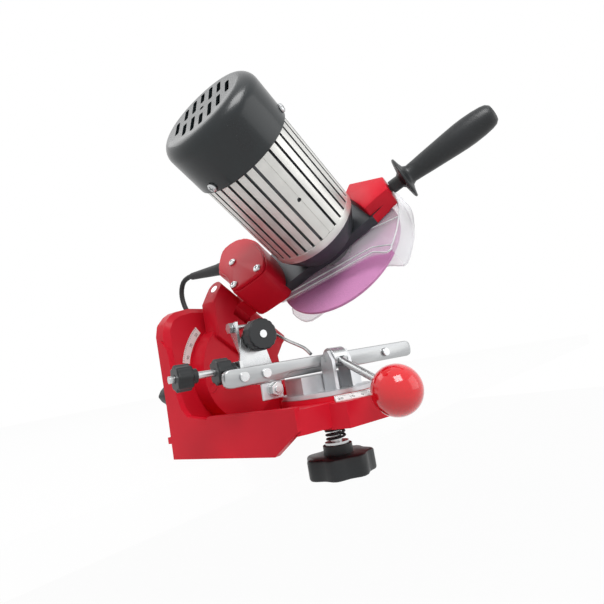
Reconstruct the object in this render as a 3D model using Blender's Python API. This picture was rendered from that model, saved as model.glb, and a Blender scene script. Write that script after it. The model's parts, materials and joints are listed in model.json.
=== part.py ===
# Electric chain sharpener with a tilting motor head, a turning vise and a ball lever.
# All sizes are in metres. The bench face is z = 0 and the vise turns about the z axis.
import math

import bmesh
import bpy
from mathutils import Matrix, Vector

# Pose of the head and the vise
RAIL_TOP = 0.072
HEAD_TILT = math.radians(35.4)
TILT_SWING = math.radians(36)
ARM_RISE = math.radians(27.1)
VISE_YAW = math.radians(17.9)

# Clearances
GAP = 0.0003
RUN_GAP = 0.00008
CORNER_SHARE = 0.45

# Grinding wheel and its spindle
WHEEL_RADIUS = 0.0725
WHEEL_WIDTH = 0.0032
WHEEL_BORE = 0.0111
WHEEL_FORWARD = 0.1156
WHEEL_ABOVE = 0.0121
SPINDLE_RADIUS = 0.006
SHAFT_RADIUS = 0.008
FLANGE_RADIUS = 0.019
FLANGE_WIDTH = 0.0045
NUT_RADIUS = 0.0098
NUT_HEIGHT = 0.0062
SPINDLE_SHOW = 0.0015

# Motor
WEB_FRONT = 0.0135
WEB_WIDTH = 0.0105
BELL_BOSS_RADIUS = 0.0165
BELL_SHOULDER = 0.034
BELL_RIM_RADIUS = 0.0467
BELL_RIM_WIDTH = 0.008
BELL_END = 0.0549
BELL_WALL = 0.004
BODY_RADIUS = 0.0468
FIN_DEPTH = 0.0040
BODY_WALL = 0.0036
BODY_ROOT_RADIUS = BODY_RADIUS - FIN_DEPTH
BODY_BORE = BODY_ROOT_RADIUS - BODY_WALL
BODY_END = 0.1493
FIN_COUNT = 40
STATOR_BORE = 0.0253
STATOR_START = 0.078
STATOR_LENGTH = 0.050
CORE_CLEARANCE = 0.0005
FAN_START = 0.155
FAN_HUB_RADIUS = 0.014
FAN_RADIUS = 0.039
FAN_WIDTH = 0.012
FAN_BLADES = 9
COVER_RADIUS = 0.0492
COVER_WALL = 0.0025
COVER_END = 0.1975
COVER_EDGE = 0.013
COVER_EDGE_STEPS = 4
VENT_WIDTH = 0.0042
VENT_PITCH = 0.0092
VENT_REACH = 0.033
VENT_TURN = math.radians(-3)
VENT_SHARES = ((-3, -.36, .36), (-2, -.79, -.13), (-2, .13, .79), (-1, -.93, -.13), (-1, .13, .93),
               (0, -.98, -.36), (0, -.08, .08), (0, .36, .98), (1, -.93, -.13), (1, .13, .93),
               (2, -.79, -.13), (2, .13, .79), (3, -.36, .36))
COVER_SCREW_S = 0.1555
COVER_SCREW_TURNS = (math.radians(-2), math.radians(-126))
PAN_RADIUS = 0.0042
PAN_HEIGHT = 0.0026
SCREW_RADIUS = 0.002
SCREW_DEPTH = 0.009
CROSS_WIDTH = 0.0012
CROSS_DEPTH = 0.0012

# Arm casting and the cover on its left face; shares are of the head span
HEAD_SPAN = 0.100
HOUSING_SHARES = (
    (-1.19, 0.24), (-1.01, 0.02), (-1.00, -0.29), (-0.55, -0.31), (-0.53, -0.06),
    (-0.62, 0.33), (-0.80, 0.60), (-1.10, 0.64),
)
HOUSING_TOP = 0.054
LID_SHARES = (
    (-1.15, 0.25), (-1.00, -0.02), (-0.99, -0.28), (-0.56, -0.30), (-0.545, -0.06),
    (-0.65, 0.32), (-0.83, 0.56), (-1.07, 0.59),
)
LID_WIDTH = 0.0038
LID_BEVEL = 0.0012
LID_SCREW_SHARES = ((-0.93, 0.18), (-0.93, -0.215), (-0.63, -0.225))
WEB_SHARES = (
    (-0.66, -0.25), (-0.25, -0.22), (0.00, -0.24), (0.25, -0.18), (0.54, -0.15),
    (0.70, -0.10), (0.70, 0.24), (0.50, 0.43), (0.20, 0.52), (-0.25, 0.52), (-0.66, 0.42),
)
SOCKET_SHARES = ((0.52, -0.13), (0.80, -0.085), (0.82, 0.14), (0.495, 0.425), (0.40, 0.30))
SOCKET_END = 0.0355
CAST_BEVEL = 0.0015
HOUSING_CORNER = 0.011
EAR_START = 0.0145
EAR_END = 0.036
EAR_RADIUS = 0.0095
EAR_NECK = 0.012
PIN_RADIUS = 0.004

# Handle
HANDLE_S = 0.0245
HANDLE_ABOVE = 0.005
STUD_START = 0.062
STUD_END = 0.140
STUD_RADIUS = 0.004
GRIP_START = 0.0825
GRIP_NECK_RADIUS = 0.0065
GRIP_DISC_RADIUS = 0.0215
GRIP_DISC_START = 0.096
GRIP_DISC_WIDTH = 0.0035
GRIP_THIN_RADIUS = 0.0088
GRIP_FAT_RADIUS = 0.0133
GRIP_FAT_AT = 0.163
GRIP_TAIL_RADIUS = 0.0118
GRIP_TAIL_AT = 0.186
GRIP_END = 0.194

# Clear guards; shares are of the guard span
GUARD_SPAN = 0.100
GUARD_FRONT = 0.0107
GUARD_WALL = 0.0022
GUARD_BACK = -0.0150
GUARD_SHARES = (
    (-0.61, -0.495), (-0.50, -0.59), (0.55, -0.27), (0.74, -0.34), (0.79, -0.05), (0.77, 0.23),
    (0.63, 0.60), (0.34, 0.80), (-0.08, 0.86), (-0.48, 0.72), (-0.66, 0.40), (-0.66, 0.07),
)
GUARD_INNER_SHARES = (
    (-0.80, -0.60), (-0.50, -0.80), (0.55, -0.50), (0.717, -0.50), (0.765, -0.05), (0.747, 0.22),
    (0.612, 0.58), (0.33, 0.776), (-0.08, 0.835), (-0.12, 1.00), (-0.48, 1.00), (-0.80, 0.60),
)
FAR_GUARD_SHARES = (
    (-0.65, -0.48), (-0.33, -0.70), (0.50, -0.16), (0.76, -0.29), (0.79, 0.115), (0.72, 0.50),
    (0.45, 0.92), (-0.10, 0.90), (-0.50, 0.66), (-0.66, 0.20),
)
GUARD_SCREW_SHARES = ((-0.30, 0.42), (0.46, 0.08))
GUARD_HOLE_RADIUS = 0.022
GUARD_CORNER = 0.014

# Tilt bracket, its hinge and its pivot
HINGE_BACK = 0.107
HINGE_UP = 0.058
KNUCKLE_RADIUS = 0.0092
KNUCKLE_NEAR = 0.0635
KNUCKLE_FAR = -0.040
DISC_RADIUS = 0.050
DISC_FRONT = 0.103
WALL_FRONT = 0.121
WALL_BACK = 0.142
POST_BACK = 0.1175
POST_FRONT = 0.0985
POST_SHARES = (
    (0.10, -0.36), (0.50, -0.40), (0.58, -0.40), (0.58, 0.635), (0.40, 0.635), (0.12, 0.44),
)
PIVOT_RADIUS = 0.006
PIVOT_HEAD = 0.010
PIVOT_HEAD_HEIGHT = 0.0065
TILT_STUD_REACH = 0.043
TILT_STUD_TURN = math.radians(198.4)
TILT_STUD_RADIUS = 0.004
TILT_KNOB_RADIUS = 0.024
TILT_KNOB_WAIST = 0.018
TILT_KNOB_WIDTH = 0.016
TILT_KNOB_LOBES = 6
TILT_KNOB_OFF = 0.002

# Base casting
SIDE_X = 0.075
SIDE_WALL = 0.006
SIDE_SHARES = (
    (0.05, 0.00), (-0.22, 0.18), (-0.22, 0.358), (0.77, 0.358), (0.79, 0.334), (1.05, 0.374),
    (1.12, 0.45), (1.17, 0.60), (1.21, 1.00), (1.285, 1.10), (1.33, 1.10), (1.33, 0.00),
)
BASE_SPAN = 0.100
REAR_SHARES = (
    (-0.712, 0.004), (-0.735, 1.20), (-0.67, 1.31), (-0.56, 1.37), (-0.39, 1.40), (-0.11, 1.39),
    (0.10, 1.33), (0.42, 1.16), (0.735, 0.86), (0.712, 0.004),
)
REAR_BEVEL = 0.005
FLOOR_BOTTOM = 0.0142
FLOOR_TOP = 0.0202
BOSS_RADIUS = 0.0425
BOSS_TOP = 0.0375
BOSS_BOTTOM = 0.0125
BOSS_BORE = 0.0055
LOBE_SHARES = ((-0.44, -0.22), (-0.41, -0.46), (-0.05, -0.54), (0.19, -0.57), (0.40, -0.20))
LOBE_TOP = 0.033
NOSE_SHARES = ((-0.735, -0.20), (-0.66, -0.24), (-0.30, -0.34), (0.30, -0.34), (0.66, -0.24),
               (0.735, -0.20), (0.735, 0.10), (-0.735, 0.10))
NOSE_TOP = 0.0335

# Turntable and rails
TABLE_RADIUS = 0.0408
TABLE_WIDTH = 0.0035
BLOCK_LENGTH = 0.064
BLOCK_NEAR = 0.0095
BLOCK_FAR = 0.030
BLOCK_TOP = 0.0555
RAIL_HALF = 0.1005
RAIL_HEIGHT = 0.0147
RAIL_IN = 0.0024
RAIL_OUT = 0.010
RAIL_BEVEL = 0.001
RAIL_CORNER = 0.0060
NOTCH_LEFT = -0.047
NOTCH_RIGHT = 0.030
NOTCH_RISE = 0.0048
RIVET_RADIUS = 0.0042
RIVET_HEIGHT = 0.0022
RIVET_SHARES = (-0.84, -0.64, 0.66)
TABLE_STUD_RADIUS = 0.005

# Ball lever
HUB_RADIUS = 0.0085
HUB_HALF = 0.007
HUB_OUT = RAIL_OUT + GAP * 2 + HUB_RADIUS
TRUNNION_RADIUS = 0.003
CHEEK_WIDTH = 0.0032
CHEEK_NEAR = 0.0275
CHEEK_TOP = 0.002
HUB_DROP = 0.004
ROD_RADIUS = 0.0033
BALL_RADIUS = 0.020
BALL_OUT = 0.0877
BALL_DROP = 0.0359
BALL_SINK = 0.012

# Chain stop, its rod and its knobs
STOP_ROD_RADIUS = 0.003
STOP_ROD_OUT = 0.1365
STOP_ROD_BACK = 0.0135
STOP_PLATE_AT = 0.0765
STOP_PLATE_WIDTH = 0.003
STOP_PLATE_SHARES = ((0.03, -0.15), (0.19, -0.15), (0.20, 0.06), (0.04, 0.06))
KNOB_RADIUS = 0.0112
KNOB_WAIST = 0.0094
KNOB_LENGTH = 0.013
KNOB_HUB_RADIUS = 0.006
KNOB_HUB_LENGTH = 0.005
KNOB_ONE_AT = 0.119
KNOB_TWO_AT = 0.0805
KNOB_LOBES = 8
PAWL_BACK = 0.028
PAWL_PLATE_WIDTH = 0.0028
PAWL_PLATE_SHARES = ((-0.63, 0.26), (-0.68, 0.02), (-0.60, -0.16), (-0.36, -0.16), (-0.36, 0.0),
                     (-0.40, 0.16), (-0.40, 0.36), (-0.52, 0.40))
PAWL_KNOB_ALONG = 0.0475
PAWL_KNOB_UP = 0.0265
PAWL_KNOB_RADIUS = 0.0145
PAWL_KNOB_WIDTH = 0.013
PAWL_STUD_RADIUS = 0.0035
WIRE_RADIUS = 0.0016
WIRE_SHARES = ((-0.436, 0.365, 0.365), (-0.37, 0.365, 0.365), (-0.325, 0.35, 0.33), (-0.27, 0.275, 0.25),
               (-0.20, 0.175, 0.165), (-0.12, 0.085, 0.088), (-0.107, 0.012, 0.021))
PAWL_FOOT_SHARES = ((-0.60, 0.106), (-0.36, 0.106), (-0.36, 0.29), (-0.60, 0.29))
PAWL_FOOT_WIDTH = 0.0026
PAWL_EAR_SHARES = ((0.285, 0.10), (0.29, 0.41), (0.42, 0.41), (0.42, 0.32))
PAWL_EAR_ALONG = 0.066
PAWL_BOLT_BACK = 0.0365
PAWL_BOLT_UP = 0.0365
PAWL_BOLT_RADIUS = 0.0022
PAWL_BOLT_HEAD = 0.005
PAWL_BOLT_LENGTH = 0.022

# Lock knob below the boss
WASHER_RADIUS = 0.0107
WASHER_WIDTH = 0.002
WASHER_TOP = -0.0044
TABLE_STUD_TOP = 0.050
LOCK_STUD_SINK = 0.010
LOCK_HUB_RADIUS = 0.013
LOCK_HUB_LENGTH = 0.008
LOCK_KNOB_RADIUS = 0.031
LOCK_KNOB_WAIST = 0.027
LOCK_KNOB_WIDTH = 0.018
LOCK_KNOB_LOBES = 7
SPRING_WIRE = 0.0011
SPRING_RADIUS = 0.0082
SPRING_TURNS = 4
SPRING_STEPS = 12

# Cord
RELIEF_ALONG = 0.118
RELIEF_ABOVE = 0.045
RELIEF_S = 0.0455
RELIEF_LENGTH = 0.058
RELIEF_THICK = 0.0072
RELIEF_THIN = 0.0042
RELIEF_SLOPE = math.radians(147)
RELIEF_SEAT = 0.008
CORD_RADIUS = 0.003
CORD_SPAN = 0.100
CORD_LEAD = 0.0065
CORD_STEPS = 3
UPPER_SHARES = ((0.30, 2.12, 1.88), (0.305, 2.19, 1.76), (0.305, 2.17, 1.60), (0.30, 2.07, 1.42))
LOWER_SHARES = ((0.30, 1.98, 1.12), (0.28, 1.94, 0.76), (0.26, 1.97, 0.43), (0.245, 2.07, 0.17))
COIL_X = 0.064
COIL_Y = 0.238
COIL_Z = 0.0046
COIL_RADIUS = 0.040
COIL_PITCH = 0.0065
COIL_TURNS = 3
COIL_POINTS = 24
COIL_CLIMB = 0.1
TAIL_SHARES = ((0.25, 2.62, 0.085), (0.32, 2.72, 0.05), (0.50, 2.87, 0.04), (0.66, 2.90, 0.045))
PLUG_START = 0.079
PLUG_BACK = 0.290
PLUG_UP = 0.0165
PLUG_RADIUS = 0.016
PLUG_NECK = 0.0045
PLUG_LENGTH = 0.040
PLUG_NECK_LENGTH = 0.022
PIN_HALF = 0.0095
PLUG_PIN_RADIUS = 0.0024
PLUG_PIN_LENGTH = 0.019
TIE_INNER = 0.0200
TIE_OUTER = 0.0405
TIE_WALL = 0.001
TIE_WIDTH = 0.004
TIE_LOW = 0.0013
TIE_HIGH = 0.0144

# Scale plates
PLATE_WIDTH = 0.0006
ARC_PLATE_INNER = 0.053
ARC_PLATE_OUTER = 0.061
ARC_PLATE_START = math.radians(128)
ARC_PLATE_END = math.radians(166)
ARC_STEPS = 8

# Switch on the far face of the arm
SWITCH_LONG = 0.022
SWITCH_WIDE = 0.014
SWITCH_DEEP = 0.006
ROCKER_RADIUS = 0.0075
ROCKER_WIDE = 0.009

ROUND = 36
HOLE_START = math.radians(7)
SMALL_ROUND = 14

AXIS_X = Matrix(((0, 0, 1), (1, 0, 0), (0, 1, 0))).to_euler()
AXIS_Y = Matrix(((0, 1, 0), (0, 0, 1), (1, 0, 0))).to_euler()

for old in list(bpy.data.objects):
    bpy.data.objects.remove(old, do_unlink=True)


def paint(name, colour, roughness, metallic=0.0, alpha=1.0):
    made = bpy.data.materials.new(name)
    made.use_nodes = True
    shader = made.node_tree.nodes["Principled BSDF"]
    shader.inputs["Base Color"].default_value = (*colour, 1.0)
    shader.inputs["Roughness"].default_value = roughness
    shader.inputs["Metallic"].default_value = metallic
    shader.inputs["Alpha"].default_value = alpha
    return made


PAINTS = {
    "red": ((0.62, 0.012, 0.02), 0.3, 0.0),
    "black": ((0.02, 0.022, 0.025), 0.5, 0.0),
    "steel": ((0.55, 0.56, 0.58), 0.35, 1.0),
    "aluminium": ((0.62, 0.62, 0.60), 0.4, 1.0),
    "clear": ((0.86, 0.87, 0.9), 0.15, 0.0),
    "stone": ((0.62, 0.32, 0.50), 0.85, 0.0),
    "ball": ((0.75, 0.01, 0.02), 0.12, 0.0),
    "plate": ((0.82, 0.80, 0.78), 0.45, 0.0),
    "copper": ((0.60, 0.28, 0.14), 0.4, 1.0),
}


def make(name, bm, kind, parent, at=(0, 0, 0), turn=(0, 0, 0), smooth=False):
    bmesh.ops.recalc_face_normals(bm, faces=bm.faces[:])
    mesh = bpy.data.meshes.new(name)
    bm.to_mesh(mesh)
    bm.free()
    obj = bpy.data.objects.new(name, mesh)
    bpy.context.scene.collection.objects.link(obj)
    if smooth:
        for face in mesh.polygons:
            face.use_smooth = True
    return settle(obj, kind, parent, at, turn)


def settle(obj, kind, parent, at, turn):
    if kind:
        obj.data.materials.append(paint(obj.name + "_paint", *PAINTS[kind]))
    obj.parent = parent
    obj.location = at
    obj.rotation_euler = turn
    return obj


def frame(name, parent=None, at=(0, 0, 0), turn=(0, 0, 0)):
    empty = bpy.data.objects.new(name, None)
    bpy.context.scene.collection.objects.link(empty)
    empty.parent = parent
    empty.location = at
    empty.rotation_euler = turn
    return empty


def add_prism(bm, outline, low, high):
    lower = [bm.verts.new((x, y, low)) for x, y in outline]
    face = bm.faces.new(lower)
    grown = bmesh.ops.extrude_face_region(bm, geom=[face])
    upper = [item for item in grown["geom"] if isinstance(item, bmesh.types.BMVert)]
    bmesh.ops.translate(bm, verts=upper, vec=(0, 0, high - low))


def prism(name, outline, low, high, kind, parent, **place):
    bm = bmesh.new()
    add_prism(bm, outline, low, high)
    return make(name, bm, kind, parent, **place)


def turned(name, profile, kind, parent, steps=ROUND, **place):
    bm = bmesh.new()
    verts = [bm.verts.new((radius, 0, height)) for radius, height in profile]
    pairs = list(zip(verts, verts[1:] + verts[:1]))
    edges = []
    for first, last in pairs:
        if first.co.x > 0 or last.co.x > 0:
            edges.append(bm.edges.new((first, last)))
    bmesh.ops.spin(bm, geom=verts + edges, cent=(0, 0, 0), axis=(0, 0, 1), dvec=(0, 0, 0),
                   angle=math.tau, steps=steps, use_merge=True, use_duplicate=False)
    bmesh.ops.remove_doubles(bm, verts=bm.verts[:], dist=GAP / ROUND)
    if not kind:
        bmesh.ops.rotate(bm, verts=bm.verts[:], cent=(0, 0, 0), matrix=Matrix.Rotation(HOLE_START, 3, "Z"))
    return make(name, bm, kind, parent, smooth=True, **place)


def rod(name, radius, low, high, kind, parent, steps=SMALL_ROUND, **place):
    profile = ((0, low), (radius, low), (radius, high), (0, high))
    return turned(name, profile, kind, parent, steps=steps, **place)


def ring(name, inner, outer, low, high, kind, parent, steps=ROUND, **place):
    profile = ((inner, low), (outer, low), (outer, high), (inner, high))
    return turned(name, profile, kind, parent, steps=steps, **place)


def circle(radius, steps, start=0.0):
    turns = [start + math.tau * step / steps for step in range(steps)]
    return [(radius * math.cos(turn), radius * math.sin(turn)) for turn in turns]


def rounded(outline, radius, steps=3):
    """The outline with each corner made a curve that starts this far from it, or where its sides leave room."""
    corners = [Vector(point) for point in outline]
    points = []
    for before, corner, after in zip(corners[-1:] + corners[:-1], corners, corners[1:] + corners[:1]):
        start = corner + (before - corner).normalized() * min(radius, (before - corner).length * CORNER_SHARE)
        end = corner + (after - corner).normalized() * min(radius, (after - corner).length * CORNER_SHARE)
        for step in range(steps + 1):
            turn = step / steps
            points.append(tuple(start.lerp(corner, turn).lerp(corner.lerp(end, turn), turn)))
    return tuple(points)


def scaled(shares, span):
    return [(x * span, y * span) for x, y in shares]


def lobed(outer, inner, lobes, steps=4):
    points = []
    for step in range(lobes * steps):
        wave = 0.5 + 0.5 * math.cos(math.tau * step / steps)
        reach = inner + (outer - inner) * wave
        turn = math.tau * step / (lobes * steps)
        points.append((reach * math.cos(turn), reach * math.sin(turn)))
    return points


def join_or_cut(target, tool, operation, solver="EXACT"):
    tool.hide_render = True
    tool.display_type = "WIRE"
    step = target.modifiers.new(operation.lower(), "BOOLEAN")
    step.operation = operation
    step.solver = solver
    step.object = tool
    return target


def cut(target, *tools, solver="EXACT"):
    for tool in tools:
        join_or_cut(target, tool, "DIFFERENCE", solver)


def weld(target, *tools):
    for tool in tools:
        join_or_cut(target, tool, "UNION")


def soften(obj, width, segments=2):
    step = obj.modifiers.new("edge", "BEVEL")
    step.width = width
    step.segments = segments
    step.limit_method = "ANGLE"
    return obj


def holes(name, places, radius, low, high, parent, **place):
    bm = bmesh.new()
    for x, y in places:
        outline = [(x + dx, y + dy) for dx, dy in circle(radius, SMALL_ROUND, HOLE_START)]
        add_prism(bm, outline, low, high)
    return make(name, bm, None, parent, **place)


def pan_screw(name, kind, parent, at, turn, depth=SCREW_DEPTH):
    profile = (
        (0, -depth), (SCREW_RADIUS, -depth), (SCREW_RADIUS, 0), (PAN_RADIUS, 0),
        (PAN_RADIUS, PAN_HEIGHT * 0.45), (PAN_RADIUS * 0.72, PAN_HEIGHT * 0.92),
        (0, PAN_HEIGHT),
    )
    screw = turned(name, profile, kind, parent, steps=SMALL_ROUND, at=at, turn=turn)
    bm = bmesh.new()
    long = PAN_RADIUS * 0.62
    half = CROSS_WIDTH / 2
    cross = (
        (long, -half), (long, half), (half, half), (half, long), (-half, long), (-half, half),
        (-long, half), (-long, -half), (-half, -half), (-half, -long), (half, -long), (half, -half),
    )
    add_prism(bm, cross, PAN_HEIGHT - CROSS_DEPTH, PAN_HEIGHT * 2)
    slot = make(name + "_slot", bm, None, parent, at=at, turn=turn)
    cut(screw, slot)
    return screw


# Frames: tilt axis, arm hinge, motor axis, guards and vise
tilt_axes = Matrix(((0, math.sin(HEAD_TILT), -math.cos(HEAD_TILT)), (-1, 0, 0),
                    (0, math.cos(HEAD_TILT), math.sin(HEAD_TILT))))
tilt = frame("tilt_frame", at=(0, 0, RAIL_TOP), turn=tilt_axes.to_euler())
arm = frame("arm_frame", tilt, (-HINGE_BACK, HINGE_UP, 0), (0, 0, ARM_RISE))
motor = frame("motor_frame", arm, (WHEEL_FORWARD, WHEEL_ABOVE, 0))
shield = frame("guard_frame", motor, turn=(0, 0, -ARM_RISE))
vise = frame("vise_frame", at=(0, 0, RAIL_TOP), turn=(0, 0, -VISE_YAW))

# Grinding wheel and spindle
half_wheel = WHEEL_WIDTH / 2
flange_top = half_wheel + GAP + FLANGE_WIDTH
ring("grinding_wheel", WHEEL_BORE, WHEEL_RADIUS, -half_wheel, half_wheel, "stone", motor, steps=56)
boss_low = -half_wheel * 0.6
turned("inner_flange", (
    (SPINDLE_RADIUS + GAP, boss_low), (WHEEL_BORE - GAP, boss_low), (WHEEL_BORE - GAP, half_wheel + GAP),
    (FLANGE_RADIUS, half_wheel + GAP), (FLANGE_RADIUS, flange_top), (SPINDLE_RADIUS + GAP, flange_top),
), "steel", motor)
ring("outer_flange", SPINDLE_RADIUS + GAP, FLANGE_RADIUS, -flange_top, -half_wheel - GAP, "steel", motor)
nut_top = -flange_top - GAP
nut = prism("wheel_nut", circle(NUT_RADIUS, 6), nut_top - NUT_HEIGHT, nut_top, "steel", motor)
cut(nut, rod("wheel_nut_bore", SPINDLE_RADIUS + GAP, nut_top - NUT_HEIGHT * 2, 0, None, motor))
spindle_start = nut_top - NUT_HEIGHT - SPINDLE_SHOW
fan_end = FAN_START + FAN_WIDTH
turned("rotor_shaft", (
    (0, spindle_start), (SPINDLE_RADIUS, spindle_start), (SPINDLE_RADIUS, flange_top + GAP),
    (SHAFT_RADIUS, flange_top + GAP), (SHAFT_RADIUS, STATOR_START),
    (STATOR_BORE - CORE_CLEARANCE, STATOR_START),
    (STATOR_BORE - CORE_CLEARANCE, STATOR_START + STATOR_LENGTH),
    (SHAFT_RADIUS, STATOR_START + STATOR_LENGTH), (SHAFT_RADIUS, fan_end), (0, fan_end),
), "steel", motor, steps=28)
blade_points = []
for blade in range(FAN_BLADES):
    for share, reach in ((0.00, FAN_HUB_RADIUS), (0.30, FAN_HUB_RADIUS), (0.42, FAN_RADIUS),
                         (0.52, FAN_RADIUS)):
        turn = math.tau * (blade + share) / FAN_BLADES
        blade_points.append((reach * math.cos(turn), reach * math.sin(turn)))
fan = prism("cooling_fan", blade_points, FAN_START, fan_end, "black", motor)
cut(fan, rod("cooling_fan_bore", SHAFT_RADIUS + GAP, FAN_START - FAN_WIDTH, fan_end + FAN_WIDTH, None, motor))

# Motor shell
bell_front = WEB_FRONT + WEB_WIDTH + GAP
turned("motor_end_bell", (
    (SHAFT_RADIUS + RUN_GAP, WEB_FRONT), (BELL_BOSS_RADIUS, WEB_FRONT), (BELL_BOSS_RADIUS, bell_front),
    (BELL_SHOULDER, bell_front), (BELL_RIM_RADIUS, BELL_END - BELL_RIM_WIDTH), (BELL_RIM_RADIUS, BELL_END),
    (BELL_RIM_RADIUS - BELL_WALL, BELL_END), (BELL_RIM_RADIUS - BELL_WALL, BELL_END - BELL_RIM_WIDTH),
    (BELL_SHOULDER - BELL_WALL, bell_front + BELL_WALL), (BELL_BOSS_RADIUS, bell_front + BELL_WALL),
    (BELL_BOSS_RADIUS, BELL_END - BELL_RIM_WIDTH), (SHAFT_RADIUS + RUN_GAP, BELL_END - BELL_RIM_WIDTH),
), "aluminium", motor)
body_start = BELL_END + GAP
fin_points = []
for fin in range(FIN_COUNT):
    for share, reach in ((0.00, BODY_ROOT_RADIUS), (0.34, BODY_ROOT_RADIUS), (0.40, BODY_RADIUS),
                         (0.94, BODY_RADIUS)):
        turn = math.tau * (fin + share) / FIN_COUNT
        fin_points.append((reach * math.cos(turn), reach * math.sin(turn)))
body = prism("motor_body", fin_points, body_start, BODY_END, "aluminium", motor)
cut(body, rod("motor_body_bore", BODY_BORE, 0, COVER_END, None, motor, steps=ROUND))
ring("stator", STATOR_BORE, BODY_BORE - GAP, STATOR_START, STATOR_START + STATOR_LENGTH, "copper", motor)

# Fan cover with its vents
cover_start = BODY_END + GAP
cover_profile = [(COVER_RADIUS - COVER_WALL, cover_start), (COVER_RADIUS, cover_start)]
for step in range(COVER_EDGE_STEPS + 1):
    turn = math.pi / 2 * step / COVER_EDGE_STEPS
    cover_profile.append((COVER_RADIUS - COVER_EDGE + COVER_EDGE * math.cos(turn),
                          COVER_END - COVER_EDGE + COVER_EDGE * math.sin(turn)))
cover_profile.append((0, COVER_END))
cover_profile.append((0, COVER_END - COVER_WALL))
for step in range(COVER_EDGE_STEPS, -1, -1):
    turn = math.pi / 2 * step / COVER_EDGE_STEPS
    inner_edge = COVER_EDGE - COVER_WALL
    cover_profile.append((COVER_RADIUS - COVER_EDGE + inner_edge * math.cos(turn),
                          COVER_END - COVER_EDGE + inner_edge * math.sin(turn)))
fan_cover = turned("fan_cover", cover_profile, "black", motor, steps=40)
bm = bmesh.new()
slot_half = VENT_WIDTH / 2
for column, near_share, far_share in VENT_SHARES:
    across = column * VENT_PITCH
    near = near_share * VENT_REACH
    far = far_share * VENT_REACH
    add_prism(bm, ((across - slot_half, near), (across + slot_half, near),
                   (across + slot_half, far), (across - slot_half, far)),
              COVER_END - COVER_WALL * 2, COVER_END + COVER_WALL)
cut(fan_cover, make("fan_cover_vents", bm, None, motor, turn=(0, 0, VENT_TURN)))
screw_seat = COVER_RADIUS + GAP
for number, turn in enumerate(COVER_SCREW_TURNS, 1):
    outward = Vector((math.cos(turn), math.sin(turn), 0))
    lie = outward.to_track_quat("Z", "Y").to_euler()
    spot = outward * screw_seat
    spot.z = COVER_SCREW_S
    cut(fan_cover, rod("fan_cover_hole_%d" % number, SCREW_RADIUS + GAP, -COVER_WALL * 2, COVER_WALL,
                       None, motor, at=spot, turn=lie))
    pan_screw("fan_cover_screw_%d" % number, "steel", motor, spot, lie, depth=COVER_WALL * 1.5)

# Arm casting: housing, web, handle socket and hinge ear
casting = prism("arm_casting", rounded(scaled(HOUSING_SHARES, HEAD_SPAN), HOUSING_CORNER), WEB_FRONT,
                HOUSING_TOP, "red", motor)
soften(casting, CAST_BEVEL)
web_end = WEB_FRONT + WEB_WIDTH
web = prism("arm_web", scaled(WEB_SHARES, HEAD_SPAN), WEB_FRONT + GAP, web_end, None, motor)
socket = prism("arm_socket", scaled(SOCKET_SHARES, HEAD_SPAN), WEB_FRONT + GAP * 2, SOCKET_END, None, motor)
soften(socket, CAST_BEVEL)
ear = rod("arm_ear", EAR_RADIUS, EAR_START, EAR_END, None, arm, steps=ROUND)
neck_half = EAR_RADIUS * 0.8
neck_end = WHEEL_FORWARD - HEAD_SPAN + EAR_NECK
neck = prism("arm_ear_neck", ((0, -neck_half), (neck_end, -neck_half), (neck_end, neck_half), (0, neck_half)),
             EAR_START + GAP, EAR_END - GAP, None, arm)
weld(casting, web, socket, ear, neck)
bell_hole = rod("arm_bell_hole", BELL_BOSS_RADIUS + GAP, 0, BELL_END, None, motor, steps=ROUND)
pin_hole = rod("arm_pin_hole", PIN_RADIUS + RUN_GAP, 0, HOUSING_TOP, None, arm, steps=ROUND)
lid_start = HOUSING_TOP + GAP
lid_top = lid_start + LID_WIDTH
lid_places = scaled(LID_SCREW_SHARES, HEAD_SPAN)
lid_holes = holes("lid_holes", lid_places, SCREW_RADIUS + GAP, lid_top - SCREW_DEPTH * 2, lid_top * 2, motor)
guard_places = scaled(GUARD_SCREW_SHARES, HEAD_SPAN)
guard_holes = holes("guard_holes", guard_places, SCREW_RADIUS + GAP, 0, GUARD_FRONT + SCREW_DEPTH, motor)
stud_hole = rod("arm_stud_hole", STUD_RADIUS + GAP, STUD_START - GAP, STUD_END, None, motor,
                at=(0, HANDLE_ABOVE, HANDLE_S), turn=AXIS_X)
relief_way = Vector((math.cos(RELIEF_SLOPE), math.sin(RELIEF_SLOPE), 0))
relief_lie = relief_way.to_track_quat("Z", "Y").to_euler()
relief_at = Vector((-RELIEF_ALONG, RELIEF_ABOVE, RELIEF_S))
relief_hole = rod("arm_relief_hole", RELIEF_THICK + GAP, -RELIEF_SEAT - GAP, RELIEF_LENGTH, None, motor,
                  at=relief_at, turn=relief_lie)
cut(casting, bell_hole, pin_hole, lid_holes, guard_holes, stud_hole, relief_hole, solver="MANIFOLD")

lid = prism("hinge_cover", rounded(scaled(LID_SHARES, HEAD_SPAN), HOUSING_CORNER), lid_start, lid_top,
            "red", motor)
soften(lid, LID_BEVEL)
cut(lid, lid_holes)
for number, (along, above) in enumerate(lid_places, 1):
    pan_screw("cover_screw_%d" % number, "steel", motor, (along, above, lid_top + GAP), (0, 0, 0),
              depth=SCREW_DEPTH)
turned("strain_relief", (
    (0, -RELIEF_SEAT), (RELIEF_THICK, -RELIEF_SEAT), (RELIEF_THICK, RELIEF_SEAT * 0.6),
    (RELIEF_THICK * 0.92, RELIEF_SEAT), (RELIEF_THIN, RELIEF_LENGTH), (0, RELIEF_LENGTH),
), "black", motor, steps=24, at=relief_at, turn=relief_lie)

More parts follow.
